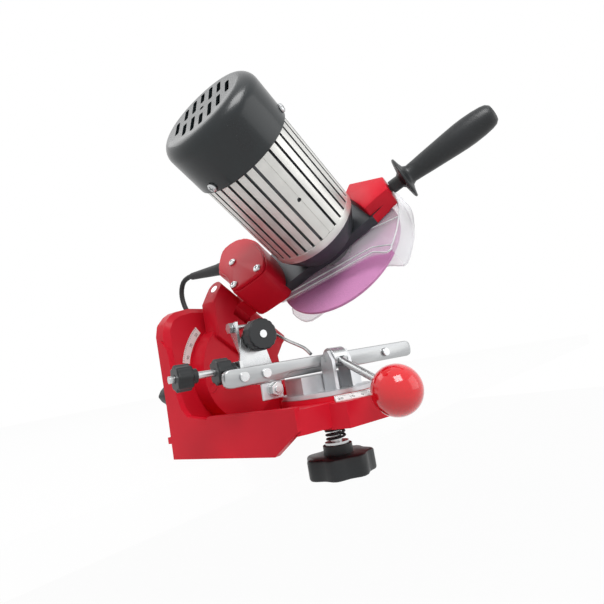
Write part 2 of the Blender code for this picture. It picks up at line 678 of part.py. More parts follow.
# Handle with its moulded stud
turned("handle_grip", (
    (0, STUD_START), (STUD_RADIUS, STUD_START), (STUD_RADIUS, GRIP_START), (GRIP_NECK_RADIUS, GRIP_START),
    (GRIP_NECK_RADIUS, GRIP_DISC_START - GRIP_DISC_WIDTH),
    (GRIP_DISC_RADIUS * 0.9, GRIP_DISC_START), (GRIP_DISC_RADIUS, GRIP_DISC_START + GRIP_DISC_WIDTH * 0.4),
    (GRIP_DISC_RADIUS * 0.9, GRIP_DISC_START + GRIP_DISC_WIDTH),
    (GRIP_THIN_RADIUS, GRIP_DISC_START + GRIP_DISC_WIDTH * 2),
    (GRIP_THIN_RADIUS * 1.15, (GRIP_START + GRIP_FAT_AT) / 2),
    (GRIP_FAT_RADIUS, GRIP_FAT_AT), (GRIP_TAIL_RADIUS, GRIP_TAIL_AT), (GRIP_TAIL_RADIUS * 0.7, GRIP_END),
    (0, GRIP_END),
), "black", motor, steps=28, at=(0, HANDLE_ABOVE, HANDLE_S), turn=AXIS_X)

# Clear guards
near_guard = prism("near_guard", rounded(scaled(GUARD_SHARES, GUARD_SPAN), GUARD_CORNER), GUARD_BACK,
                   GUARD_FRONT + GUARD_WALL, "clear", shield)
guard_inside = prism("near_guard_inside", rounded(scaled(GUARD_INNER_SHARES, GUARD_SPAN), GUARD_CORNER),
                     GUARD_BACK - GUARD_WALL,
                     GUARD_FRONT, None, shield)
guard_eye = rod("near_guard_eye", GUARD_HOLE_RADIUS, 0, WEB_FRONT, None, motor, steps=ROUND)
cut(near_guard, guard_inside, guard_eye, guard_holes)
far_guard = prism("far_guard", rounded(scaled(FAR_GUARD_SHARES, GUARD_SPAN), GUARD_CORNER),
                  GUARD_BACK - GAP - GUARD_WALL,
                  GUARD_BACK - GAP, "clear", shield)
guard_screw_lie = (math.pi, 0, 0)
for number, (along, above) in enumerate(guard_places, 1):
    pan_screw("guard_screw_%d" % number, "steel", motor, (along, above, GUARD_FRONT - GAP), guard_screw_lie,
              depth=SCREW_DEPTH)

# Tilt bracket: disc on the rear wall, post and knuckles
post = scaled(POST_SHARES, HEAD_SPAN)
bracket = rod("tilt_bracket", DISC_RADIUS, -WALL_FRONT + GAP, -DISC_FRONT, "red", tilt, steps=48, turn=AXIS_X)
upright = prism("bracket_post", post, -POST_BACK, -POST_FRONT, None, tilt, turn=AXIS_X)
soften(upright, CAST_BEVEL)
knuckle = rod("bracket_knuckle", KNUCKLE_RADIUS, KNUCKLE_FAR, KNUCKLE_NEAR, None, tilt, steps=ROUND,
              at=(-HINGE_BACK, HINGE_UP, 0))
weld(bracket, upright, knuckle)
slot_half = KNUCKLE_RADIUS * 1.6
ear_slot = prism("bracket_slot", ((-slot_half, -slot_half), (slot_half * 2, -slot_half),
                                  (slot_half * 2, slot_half * 2), (-slot_half, slot_half * 2)),
                 EAR_START - GAP, EAR_END + GAP, None, tilt, at=(-HINGE_BACK, HINGE_UP, 0))
bracket_pin_hole = rod("bracket_pin_hole", PIN_RADIUS + GAP, KNUCKLE_FAR * 2, KNUCKLE_NEAR * 2, None, tilt,
                       at=(-HINGE_BACK, HINGE_UP, 0))
pivot_hole = rod("bracket_pivot_hole", PIVOT_RADIUS + GAP, -WALL_BACK * 2, 0, None, tilt, turn=AXIS_X)
stud_turn = TILT_STUD_TURN
stud_spot = Vector((TILT_STUD_REACH * math.cos(stud_turn), 0,
                    RAIL_TOP + TILT_STUD_REACH * math.sin(stud_turn)))
stud_bore = rod("bracket_stud_hole", TILT_STUD_RADIUS + GAP, -WALL_BACK * 2, 0, None, None,
                at=stud_spot, turn=(math.pi / 2, 0, 0))
stud_bore.location.y = -WALL_BACK
cut(bracket, ear_slot, bracket_pin_hole, pivot_hole, stud_bore)
rod("hinge_pin", PIN_RADIUS, KNUCKLE_FAR, KNUCKLE_NEAR, "steel", tilt, steps=ROUND,
    at=(-HINGE_BACK, HINGE_UP, 0))
head_start = WALL_BACK + GAP
pivot_front = DISC_FRONT - GAP
pivot = rod("pivot_bolt", PIVOT_RADIUS, -head_start - PIVOT_HEAD_HEIGHT * 0.5,
            -pivot_front + PIVOT_HEAD_HEIGHT + GAP * 2,
            "steel", tilt, steps=ROUND, turn=AXIS_X)
weld(pivot, prism("pivot_bolt_head", circle(PIVOT_HEAD, 6), -head_start - PIVOT_HEAD_HEIGHT, -head_start,
                  None, tilt, turn=AXIS_X))
back_turn = (-math.pi / 2, 0, 0)
knob_start = WALL_BACK + TILT_KNOB_OFF
rod("tilt_stud", TILT_STUD_RADIUS, DISC_FRONT + GAP, knob_start + TILT_KNOB_WIDTH / 2, "steel", None,
    at=stud_spot, turn=back_turn)
tilt_knob = prism("tilt_lock_knob", lobed(TILT_KNOB_RADIUS, TILT_KNOB_WAIST, TILT_KNOB_LOBES), knob_start,
                  knob_start + TILT_KNOB_WIDTH, "black", None, at=stud_spot, turn=back_turn)
soften(tilt_knob, CAST_BEVEL)
cut(tilt_knob, rod("tilt_knob_bore", TILT_STUD_RADIUS + GAP, 0, knob_start + TILT_KNOB_WIDTH / 2 + GAP,
                   None, None,
                   at=stud_spot, turn=back_turn))

# Base casting: side walls, floor, rear wall, boss and scale lobe
base = prism("base_casting", scaled(((-0.74, -0.05), (0.74, -0.05), (0.74, 1.39), (-0.74, 1.39)), BASE_SPAN),
             FLOOR_BOTTOM, FLOOR_TOP, "red", None)
side = scaled(SIDE_SHARES, BASE_SPAN)
left_wall = prism("base_left_wall", side, -SIDE_X, -SIDE_X + SIDE_WALL, None, None, turn=AXIS_X)
right_wall = prism("base_right_wall", side, SIDE_X - SIDE_WALL, SIDE_X, None, None, turn=AXIS_X)
rear = prism("base_rear_wall", [(z * BASE_SPAN, x * BASE_SPAN) for x, z in REAR_SHARES], WALL_FRONT,
             WALL_BACK,
             None, None, turn=AXIS_Y)
soften(rear, REAR_BEVEL, 1)
boss = rod("base_boss", BOSS_RADIUS, BOSS_BOTTOM, BOSS_TOP, None, None, steps=48)
lobe = prism("base_lobe", scaled(LOBE_SHARES, BASE_SPAN), BOSS_BOTTOM + GAP, LOBE_TOP, None, None)
nose = prism("base_nose", scaled(NOSE_SHARES, BASE_SPAN), FLOOR_BOTTOM + GAP, NOSE_TOP, None, None)
weld(base, left_wall, right_wall, rear, boss, lobe, nose)
bm = bmesh.new()
slot_steps = 14
slot_margin = (TILT_STUD_RADIUS + GAP * 2) * 1.1 / TILT_STUD_REACH
outer_arc = []
inner_arc = []
for step in range(slot_steps + 1):
    turn = stud_turn - slot_margin + (TILT_SWING + slot_margin * 2) * step / slot_steps
    for arc, reach in ((outer_arc, TILT_STUD_REACH + TILT_STUD_RADIUS + GAP * 2),
                       (inner_arc, TILT_STUD_REACH - TILT_STUD_RADIUS - GAP * 2)):
        arc.append((reach * math.sin(turn), reach * math.cos(turn)))
add_prism(bm, outer_arc + inner_arc[::-1], DISC_FRONT, WALL_BACK * 2)
tilt_slot = make("base_tilt_slot", bm, None, None, at=(0, 0, RAIL_TOP), turn=AXIS_Y)
base_pivot_hole = rod("base_pivot_hole", PIVOT_RADIUS + RUN_GAP, DISC_FRONT, WALL_BACK * 2, None, None,
                      steps=ROUND,
                      at=(0, 0, RAIL_TOP), turn=AXIS_Y)
table_hole = rod("base_table_hole", TABLE_STUD_RADIUS + RUN_GAP, -BOSS_TOP, BOSS_TOP * 2, None, None,
                 steps=ROUND,
                 turn=(0, 0, HOLE_START / 2))
cut(base, tilt_slot, base_pivot_hole, table_hole)

arc_outer = []
arc_inner = []
for step in range(ARC_STEPS + 1):
    turn = ARC_PLATE_START + (ARC_PLATE_END - ARC_PLATE_START) * step / ARC_STEPS
    arc_outer.append((ARC_PLATE_OUTER * math.sin(turn), ARC_PLATE_OUTER * math.cos(turn)))
    arc_inner.append((ARC_PLATE_INNER * math.sin(turn), ARC_PLATE_INNER * math.cos(turn)))
prism("tilt_scale_plate", arc_outer + arc_inner[::-1], WALL_FRONT - GAP - PLATE_WIDTH, WALL_FRONT - GAP,
      "plate",
      None, at=(0, 0, RAIL_TOP), turn=AXIS_Y)

# Turntable with its block, stud and the two rails
table_low = BOSS_TOP + GAP - RAIL_TOP
table_top = table_low + TABLE_WIDTH
table = rod("turntable", TABLE_RADIUS, table_low, table_top, "aluminium", vise, steps=44)
block_half = BLOCK_LENGTH / 2
block = prism("turntable_block", ((-block_half, -BLOCK_NEAR), (block_half, -BLOCK_NEAR),
                                  (block_half, BLOCK_FAR * 0.6),
                                  (block_half * 0.6, BLOCK_FAR), (-block_half * 0.6, BLOCK_FAR),
                                  (-block_half, BLOCK_FAR * 0.6)),
              table_top - TABLE_WIDTH / 2, BLOCK_TOP - RAIL_TOP, None, vise)
weld(table, block)
cut(table, rod("turntable_bore", TABLE_STUD_RADIUS + GAP, table_low * 2, (BLOCK_TOP - RAIL_TOP) * 1.3, None,
               vise))


def rail_outline(left, notch=()):
    low = -RAIL_HEIGHT
    return rounded(((left, low),) + notch + ((RAIL_HALF, low), (RAIL_HALF, 0), (left, 0)), RAIL_CORNER)


UP_Y = (math.pi / 2, 0, 0)
notch_top = NOTCH_RISE - RAIL_HEIGHT
notch = ((NOTCH_LEFT, -RAIL_HEIGHT), (NOTCH_LEFT + NOTCH_RISE, notch_top),
         (NOTCH_RIGHT - NOTCH_RISE, notch_top),
         (NOTCH_RIGHT, -RAIL_HEIGHT))
front_rail = prism("front_rail", rail_outline(-RAIL_HALF, notch), RAIL_IN, RAIL_OUT, "steel", vise, turn=UP_Y)
soften(front_rail, RAIL_BEVEL)
rear_rail = prism("rear_rail", rail_outline(-STOP_PLATE_AT + GAP), -RAIL_OUT, -RAIL_IN, "steel", vise,
                  turn=UP_Y)
soften(rear_rail, RAIL_BEVEL)
for number, share in enumerate(RIVET_SHARES, 1):
    rod("rail_rivet_%d" % number, RIVET_RADIUS, RAIL_OUT + GAP, RAIL_OUT + GAP + RIVET_HEIGHT, "steel", vise,
        at=(share * RAIL_HALF, 0, -RAIL_HEIGHT / 2), turn=UP_Y)

# Ball lever between two cheeks of the turntable
hub_at = Vector((0, -HUB_OUT, -HUB_DROP))
cheek_in = HUB_HALF + GAP
cheek_out = cheek_in + CHEEK_WIDTH
cheek_back = -HUB_OUT + HUB_RADIUS - GAP
cheek_low = table_top - TABLE_WIDTH / 2
cheek_slope = (CHEEK_NEAR + cheek_back) / 2
for name, low in (("turntable_cheek_1", -cheek_out), ("turntable_cheek_2", cheek_in)):
    weld(table, prism(name, ((-CHEEK_NEAR, cheek_low), (cheek_back, cheek_low),
                             (cheek_back, CHEEK_TOP - cheek_slope),
                             (cheek_back - cheek_slope, CHEEK_TOP),
                             (-CHEEK_NEAR + cheek_slope / 2, CHEEK_TOP),
                             (-CHEEK_NEAR, CHEEK_TOP - cheek_slope)), low, low + CHEEK_WIDTH, None, vise,
                      turn=AXIS_X))
cut(table, rod("cheek_bore", TRUNNION_RADIUS + RUN_GAP, -cheek_out * 2, cheek_out * 2, None, vise,
               steps=ROUND,
               at=hub_at, turn=AXIS_X))
hub = turned("lever_hub", (
    (0, -cheek_out), (TRUNNION_RADIUS, -cheek_out), (TRUNNION_RADIUS, -HUB_HALF), (HUB_RADIUS, -HUB_HALF),
    (HUB_RADIUS, HUB_HALF), (TRUNNION_RADIUS, HUB_HALF), (TRUNNION_RADIUS, cheek_out), (0, cheek_out),
), "steel", vise, steps=ROUND, at=hub_at, turn=AXIS_X)
reach = Vector((0, -(BALL_OUT - HUB_OUT), -(BALL_DROP - HUB_DROP)))
lever_lie = reach.to_track_quat("Z", "Y").to_euler()
lever_length = reach.length
rod_start = HUB_RADIUS * 0.5
rod_end = lever_length - BALL_RADIUS + BALL_SINK
cut(hub, rod("lever_hub_bore", ROD_RADIUS + GAP, rod_start - GAP, lever_length, None, vise, at=hub_at,
             turn=lever_lie))
rod("lever_rod", ROD_RADIUS, rod_start, rod_end, "steel", vise, at=hub_at, turn=lever_lie)
ball_points = []
for step in range(13):
    turn = -math.pi / 2 + math.pi * step / 12
    ball_points.append((max(0.0, BALL_RADIUS * math.cos(turn)) if 0 < step < 12 else 0.0,
                        lever_length + BALL_RADIUS * math.sin(turn)))
ball = turned("lever_ball", ball_points, "ball", vise, steps=32, at=hub_at, turn=lever_lie)
cut(ball, rod("lever_ball_bore", ROD_RADIUS + GAP, 0, rod_end + GAP, None, vise, at=hub_at, turn=lever_lie))

# Chain stop rod with its knobs at the left end of the rear rail
rod_spot = (0, STOP_ROD_BACK, 0)
stop_plate = prism("stop_plate", scaled(STOP_PLATE_SHARES, HEAD_SPAN), -STOP_PLATE_AT - STOP_PLATE_WIDTH,
                   -STOP_PLATE_AT, "steel", vise, turn=AXIS_X)
cut(stop_plate, rod("stop_plate_bore", STOP_ROD_RADIUS + RUN_GAP, -STOP_ROD_OUT, 0, None, vise, steps=ROUND,
                    at=rod_spot,
                    turn=AXIS_X))
rod("stop_rod", STOP_ROD_RADIUS, -STOP_ROD_OUT, -STOP_PLATE_AT - GAP, "steel", vise, steps=ROUND,
    at=rod_spot, turn=AXIS_X)


def rod_knob(name, low):
    knob = prism(name, lobed(KNOB_RADIUS, KNOB_WAIST, KNOB_LOBES), low, low + KNOB_LENGTH, "black", vise,
                 at=rod_spot, turn=AXIS_X)
    soften(knob, RAIL_BEVEL, 1)
    weld(knob, rod(name + "_hub", KNOB_HUB_RADIUS, low + KNOB_LENGTH / 2, low + KNOB_LENGTH + KNOB_HUB_LENGTH,
                   None, vise, at=rod_spot, turn=AXIS_X))
    cut(knob, rod(name + "_bore", STOP_ROD_RADIUS + GAP, -STOP_ROD_OUT * 2, 0, None, vise, at=rod_spot,
                  turn=AXIS_X))
    return knob


rod_knob("stop_knob", -KNOB_ONE_AT - KNOB_LENGTH)
rod_knob("lock_collar_knob", -KNOB_TWO_AT - KNOB_LENGTH - KNOB_HUB_LENGTH)

# Pawl plate on the back of the rear rail, with its knob, stud, bolt and bent wire
pawl_plate = prism("pawl_plate", scaled(PAWL_PLATE_SHARES, HEAD_SPAN), -PAWL_BACK - PAWL_PLATE_WIDTH,
                   -PAWL_BACK,
                   "steel", vise, turn=UP_Y)
foot_low = PAWL_PLATE_SHARES[2][1] * HEAD_SPAN
foot = prism("pawl_foot", scaled(PAWL_FOOT_SHARES, HEAD_SPAN), foot_low, foot_low + PAWL_FOOT_WIDTH, None,
             vise)
pawl_ear = prism("pawl_ear", scaled(PAWL_EAR_SHARES, HEAD_SPAN), -PAWL_EAR_ALONG,
                 -PAWL_EAR_ALONG + PAWL_PLATE_WIDTH,
                 None, vise, turn=AXIS_X)
weld(pawl_plate, foot, pawl_ear)
bolt_spot = (-PAWL_EAR_ALONG, PAWL_BOLT_BACK, PAWL_BOLT_UP)
knob_spot = (-PAWL_KNOB_ALONG, PAWL_BACK, PAWL_KNOB_UP)
cut(pawl_plate, rod("pawl_bolt_hole", PAWL_BOLT_RADIUS + GAP, -PAWL_BOLT_LENGTH, PAWL_BOLT_LENGTH, None, vise,
                    at=bolt_spot, turn=AXIS_X),
    rod("pawl_stud_hole", PAWL_STUD_RADIUS + GAP, -PAWL_BACK, PAWL_BACK, None, vise, at=knob_spot, turn=UP_Y))
pawl_bolt = rod("pawl_bolt", PAWL_BOLT_RADIUS, -GAP * 2, PAWL_BOLT_LENGTH, "steel", vise, at=bolt_spot,
                turn=AXIS_X)
weld(pawl_bolt, prism("pawl_bolt_head", circle(PAWL_BOLT_HEAD, 6), -GAP - PAWL_BOLT_HEAD * 0.7, -GAP, None,
                      vise,
                      at=bolt_spot, turn=AXIS_X))
rod("pawl_stud", PAWL_STUD_RADIUS, -PAWL_PLATE_WIDTH, PAWL_KNOB_WIDTH + GAP * 3, "steel", vise,
    at=knob_spot, turn=UP_Y)
pawl_knob = prism("pawl_knob", lobed(PAWL_KNOB_RADIUS, PAWL_KNOB_RADIUS * 0.94, KNOB_LOBES * 2, 2), GAP,
                  GAP + PAWL_KNOB_WIDTH, "black", vise, at=knob_spot, turn=UP_Y)
soften(pawl_knob, RAIL_BEVEL, 1)
cut(pawl_knob, rod("pawl_knob_bore", PAWL_STUD_RADIUS + GAP, -PAWL_BACK, PAWL_BACK, None, vise, at=knob_spot,
                   turn=UP_Y))


def tube(name, points, radius, kind, parent, resolution=2):
    curve = bpy.data.curves.new(name, "CURVE")
    curve.dimensions = "3D"
    curve.bevel_depth = radius
    curve.bevel_resolution = resolution
    curve.use_fill_caps = True
    spline = curve.splines.new("POLY")
    spline.points.add(len(points) - 1)
    for target, point in zip(spline.points, points):
        target.co = (*point, 1)
    obj = bpy.data.objects.new(name, curve)
    bpy.context.scene.collection.objects.link(obj)
    return settle(obj, kind, parent, (0, 0, 0), (0, 0, 0))


def smooth_path(route, steps):
    ends = [route[0] * 2 - route[1]] + route + [route[-1] * 2 - route[-2]]
    points = []
    for first, second, third, fourth in zip(ends, ends[1:], ends[2:], ends[3:]):
        for step in range(steps):
            t = step / steps
            points.append(second + (third - first) * (t / 2)
                          + (first * 2 - second * 5 + third * 4 - fourth) * (t * t / 2)
                          + (second * 3 - first - third * 3 + fourth) * (t * t * t / 2))
    return points + [route[-1]]


wire = [Vector(place) * HEAD_SPAN for place in WIRE_SHARES]
tube("stop_pawl", smooth_path(wire, 2), WIRE_RADIUS, "steel", vise)

# Lock knob, washer, stud and spring below the boss
lock_top = WASHER_TOP - WASHER_WIDTH - GAP
rod("table_stud", TABLE_STUD_RADIUS, lock_top - LOCK_STUD_SINK, TABLE_STUD_TOP, "steel", None, steps=ROUND)
ring("lock_washer", TABLE_STUD_RADIUS + GAP, WASHER_RADIUS, WASHER_TOP - WASHER_WIDTH, WASHER_TOP, "steel",
     None)
knob_top = lock_top - LOCK_HUB_LENGTH
lock_knob = prism("lock_knob", lobed(LOCK_KNOB_RADIUS, LOCK_KNOB_WAIST, LOCK_KNOB_LOBES, 6),
                  knob_top - LOCK_KNOB_WIDTH, knob_top, "black", None)
soften(lock_knob, LOCK_HUB_RADIUS / 6)
weld(lock_knob, rod("lock_knob_hub", LOCK_HUB_RADIUS, knob_top - LOCK_HUB_LENGTH, lock_top, None, None,
                    steps=28))
cut(lock_knob, rod("lock_knob_bore", TABLE_STUD_RADIUS + GAP, lock_top - LOCK_STUD_SINK - GAP,
                   TABLE_STUD_TOP, None,
                   None))
spring_low = WASHER_TOP + SPRING_WIRE + GAP
spring_high = BOSS_BOTTOM - SPRING_WIRE - GAP
spring = []
for step in range(SPRING_TURNS * SPRING_STEPS + 1):
    share = step / (SPRING_TURNS * SPRING_STEPS)
    turn = math.tau * SPRING_TURNS * share
    spring.append(Vector((SPRING_RADIUS * math.cos(turn), SPRING_RADIUS * math.sin(turn),
                          spring_low + (spring_high - spring_low) * share)))
tube("lock_spring", spring, SPRING_WIRE, "steel", None, resolution=1)

# Cord: two free stretches, a tied coil on the bench behind the base, a tail and a plug
head_axes = tilt_axes.to_4x4()
place_in_world = (Matrix.Translation((0, 0, RAIL_TOP)) @ head_axes
                  @ Matrix.Translation((-HINGE_BACK, HINGE_UP, 0)) @ Matrix.Rotation(ARM_RISE, 4, "Z")
                  @ Matrix.Translation((WHEEL_FORWARD, WHEEL_ABOVE, 0)))
relief_end = place_in_world @ (relief_at + relief_way * (RELIEF_LENGTH + GAP))
relief_lead = place_in_world @ (relief_at + relief_way * (RELIEF_LENGTH + CORD_LEAD))
upper = [relief_end, relief_lead] + [Vector(place) * CORD_SPAN for place in UPPER_SHARES]
upper_path = smooth_path(upper, CORD_STEPS)
cord_way = (upper_path[-1] - upper_path[-2]).normalized()
lower_start = upper_path[-1] + cord_way * GAP * 3
coil_entry = Vector((COIL_X - COIL_RADIUS, COIL_Y - CORD_LEAD - GAP, COIL_Z))
entry_lead = coil_entry - Vector((0, CORD_LEAD * 2, 0))
lower = ([lower_start, lower_start + cord_way * CORD_LEAD]
         + [Vector(place) * CORD_SPAN for place in LOWER_SHARES] + [entry_lead, coil_entry])
tube("cord_upper", upper_path, CORD_RADIUS, "black", None)
tube("cord_lower", smooth_path(lower, CORD_STEPS), CORD_RADIUS, "black", None)
coil = []
total = COIL_TURNS * 2
for step in range(total * COIL_POINTS + 1):
    turns = step / COIL_POINTS
    inward = min(turns, total - turns)
    reach = COIL_RADIUS - COIL_PITCH * inward
    rise = min(1.0, max(0.0, (turns - COIL_TURNS + COIL_CLIMB) / (COIL_CLIMB * 2)))
    climb = rise * rise * (3 - 2 * rise)
    turn = math.pi - math.tau * turns
    coil.append(Vector((COIL_X + reach * math.cos(turn), COIL_Y + reach * math.sin(turn),
                        COIL_Z + COIL_PITCH * climb)))
coil = [coil[0] - Vector((0, CORD_LEAD, 0))] + coil + [coil[-1] + Vector((0, CORD_LEAD, 0))]
tube("cord_coil", coil, CORD_RADIUS, "black", None, resolution=1)
tail_start = coil[-1] + Vector((0, GAP, 0))
plug_end = Vector((PLUG_START, PLUG_BACK, PLUG_UP))
tail = ([tail_start, tail_start + Vector((0, CORD_LEAD,
                                          0))] + [Vector(place) * CORD_SPAN for place in TAIL_SHARES])
tail += [plug_end - Vector((CORD_LEAD, 0, 0)), plug_end - Vector((GAP * 3, 0, 0))]
tube("cord_tail", smooth_path(tail, CORD_STEPS), CORD_RADIUS, "black", None)
pin_start = PLUG_NECK_LENGTH + PLUG_LENGTH
plug = turned("plug", (
    (0, 0), (PLUG_NECK, 0), (PLUG_NECK * 1.4, PLUG_NECK_LENGTH), (PLUG_RADIUS * 0.8, PLUG_NECK_LENGTH * 1.2),
    (PLUG_RADIUS, pin_start - PLUG_NECK), (PLUG_RADIUS, pin_start), (0, pin_start),
), "black", None, steps=28, at=plug_end, turn=AXIS_X)
for number, side_way in enumerate((-1, 1), 1):
    spot = plug_end + Vector((0, side_way * PIN_HALF, 0))
    weld(plug, rod("plug_pin_%d" % number, PLUG_PIN_RADIUS, pin_start - PLUG_NECK,
                   pin_start + PLUG_PIN_LENGTH,
                   None, None, at=spot, turn=AXIS_X))
tie_spot = (COIL_X, COIL_Y, 0)
tie_wide = TIE_WIDTH / 2
tie = prism("cord_tie", ((TIE_INNER - TIE_WALL, TIE_LOW - TIE_WALL),
                         (TIE_OUTER + TIE_WALL, TIE_LOW - TIE_WALL),
                         (TIE_OUTER + TIE_WALL, TIE_HIGH + TIE_WALL),
                         (TIE_INNER - TIE_WALL, TIE_HIGH + TIE_WALL)),
            -tie_wide, tie_wide, "black", None, at=tie_spot, turn=UP_Y)
cut(tie, prism("cord_tie_inside", ((TIE_INNER, TIE_LOW), (TIE_OUTER, TIE_LOW), (TIE_OUTER, TIE_HIGH),
                                   (TIE_INNER, TIE_HIGH)), -TIE_WIDTH, TIE_WIDTH, None, None, at=tie_spot,
               turn=UP_Y))

# Rocker switch on the far face of the arm housing
switch_spot = (-HEAD_SPAN * 0.90, HEAD_SPAN * 0.12, WEB_FRONT - GAP)
long_half = SWITCH_LONG / 2
wide_half = SWITCH_WIDE / 2
switch = prism("switch_body", ((-long_half, -wide_half), (long_half, -wide_half), (long_half, wide_half),
                               (-long_half, wide_half)), -SWITCH_DEEP, 0, "black", motor, at=switch_spot)
well_half = ROCKER_WIDE / 2 + GAP
well = ROCKER_RADIUS + GAP
cut(switch, prism("switch_well", ((-well, -well_half), (well, -well_half), (well, well_half),
                                  (-well, well_half)),
                  -SWITCH_DEEP * 2, -GAP * 3, None, motor, at=switch_spot))
rocker_half = ROCKER_WIDE / 2
rocker_deep = SWITCH_DEEP - GAP * 4
rocker_outline = ((-ROCKER_RADIUS * 0.9, -rocker_deep * 0.36), (0, -rocker_deep * 0.36),
                  (ROCKER_RADIUS * 0.9, -rocker_deep * 0.12),
                  (ROCKER_RADIUS * 0.94, rocker_deep * 0.55), (0, rocker_deep * 0.25),
                  (-ROCKER_RADIUS * 0.94, rocker_deep * 0.35))
prism("switch_rocker", rocker_outline, -rocker_half, rocker_half, "red", motor,
      at=(switch_spot[0], switch_spot[1], switch_spot[2] - rocker_deep * 0.6), turn=(-math.pi / 2, 0, 0))
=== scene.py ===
"""Bench chain grinder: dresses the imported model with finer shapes, finishes, lights and a camera."""
import json
import math

import bmesh
import bpy
from mathutils import Matrix, Vector

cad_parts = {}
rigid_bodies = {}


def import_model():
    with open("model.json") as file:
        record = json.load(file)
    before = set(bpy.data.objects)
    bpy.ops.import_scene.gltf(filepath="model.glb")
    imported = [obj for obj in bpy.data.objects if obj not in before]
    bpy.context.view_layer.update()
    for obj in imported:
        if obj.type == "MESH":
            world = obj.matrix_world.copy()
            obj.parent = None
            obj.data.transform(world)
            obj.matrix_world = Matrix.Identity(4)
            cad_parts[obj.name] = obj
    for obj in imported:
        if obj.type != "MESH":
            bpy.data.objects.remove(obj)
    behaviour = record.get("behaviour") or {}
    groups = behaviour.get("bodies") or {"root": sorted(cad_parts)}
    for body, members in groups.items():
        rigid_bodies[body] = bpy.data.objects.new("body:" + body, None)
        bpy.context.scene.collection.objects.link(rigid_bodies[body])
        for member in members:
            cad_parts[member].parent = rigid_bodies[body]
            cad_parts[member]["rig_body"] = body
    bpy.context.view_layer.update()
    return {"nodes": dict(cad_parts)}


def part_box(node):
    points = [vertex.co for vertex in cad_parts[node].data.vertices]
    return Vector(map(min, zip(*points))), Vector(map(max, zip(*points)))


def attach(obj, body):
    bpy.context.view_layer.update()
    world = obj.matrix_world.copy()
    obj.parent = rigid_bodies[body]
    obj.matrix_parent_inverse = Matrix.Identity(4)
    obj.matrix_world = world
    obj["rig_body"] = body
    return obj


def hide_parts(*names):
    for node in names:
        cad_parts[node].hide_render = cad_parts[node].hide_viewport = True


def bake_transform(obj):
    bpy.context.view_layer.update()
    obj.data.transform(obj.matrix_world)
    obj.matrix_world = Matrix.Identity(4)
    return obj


bl_info = {
    "name": "Bench chain grinder",
    "version": (1, 0, 0),
    "blender": (4, 5, 0),
    "location": "View3D > Sidebar > Grinder",
    "description": "Builds the visible pieces of a bench chain grinder on its packed frame",
    "category": "Add Mesh",
}

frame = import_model()

# The machine's frames, as the part has them
RAIL_TOP = 0.072
HEAD_TILT = math.radians(35.4)
ARM_RISE = math.radians(27.1)
VISE_YAW = math.radians(17.9)
HINGE = (-0.107, 0.058, 0.0)
WHEEL_AT = (0.1156, 0.0121, 0.0)

TILT_AXES = Matrix(((0, math.sin(HEAD_TILT), -math.cos(HEAD_TILT)), (-1, 0, 0),
                    (0, math.cos(HEAD_TILT), math.sin(HEAD_TILT)))).to_4x4()
TILT = Matrix.Translation((0, 0, RAIL_TOP)) @ TILT_AXES
ARM = TILT @ Matrix.Translation(HINGE) @ Matrix.Rotation(ARM_RISE, 4, "Z")
MOTOR = ARM @ Matrix.Translation(WHEEL_AT)
SHIELD = MOTOR @ Matrix.Rotation(-ARM_RISE, 4, "Z")
VISE = Matrix.Translation((0, 0, RAIL_TOP)) @ Matrix.Rotation(-VISE_YAW, 4, "Z")
ALONG_X = Matrix(((0, 0, 1), (1, 0, 0), (0, 1, 0))).to_4x4()
FACING_FRONT = Matrix.Rotation(math.pi / 2, 4, "X")

# Motor sizes, as the part has them; the slots stand for the part's fins. A vent has its column and its
# two ends in shares of VENT_REACH, BODY_LAND is the slot that the land replaces, and a slot's half
# turn is in degrees
COVER_RADIUS = 0.0492
COVER_WALL = 0.0025
COVER_START = 0.1496
COVER_END = 0.1975
COVER_EDGE = 0.013
COVER_LIP = 0.0005
COVER_FLAT_SHARE = 0.35
COVER_STEPS = 12
VENTS = ((-3, -0.36, 0.36), (-2, -0.79, -0.13), (-2, 0.13, 0.79), (-1, -0.93, -0.13), (-1, 0.13, 0.93),
         (0, -0.98, -0.36), (0, -0.08, 0.08), (0, 0.36, 0.98), (1, -0.93, -0.13), (1, 0.13, 0.93),
         (2, -0.79, -0.13), (2, 0.13, 0.79), (3, -0.36, 0.36))
VENT_REACH = 0.033
VENT_PITCH = 0.0092
VENT_HALF = 0.0021
VENT_TURN = math.radians(-3)
VENT_STEPS = 8
BODY_RADIUS = 0.0468
BODY_ROOT = 0.0428
BODY_BORE = 0.0392
BODY_START = 0.0552
BODY_END = 0.1493
BODY_SLOTS = 32
BODY_LAND = 26
LAND_DEPTH = 0.0005
SLOT_HALF_TURN = 1.55
PLUG_HOLE_STEPS = 24
# Below this reach along the shaft the end bell is painted dark grey: painted shade behind the clear
# guard, where a dark end cap also shows
BELL_SHADED_BELOW = 0.047
PLUG_HOLE_RADIUS = 0.0019
PLUG_HOLE_DEPTH = 0.006
PLUG_HOLE_AT = 0.0996

# Part of the arm's web painted dark grey: painted shade behind the clear guard, where a dark end cap also
# shows; in the motor's frame: span along the arm, span along the shaft, and top
SHADED_WEB_AREA = ((-0.054, 0.060), (0.0125, 0.0245), 0.042)

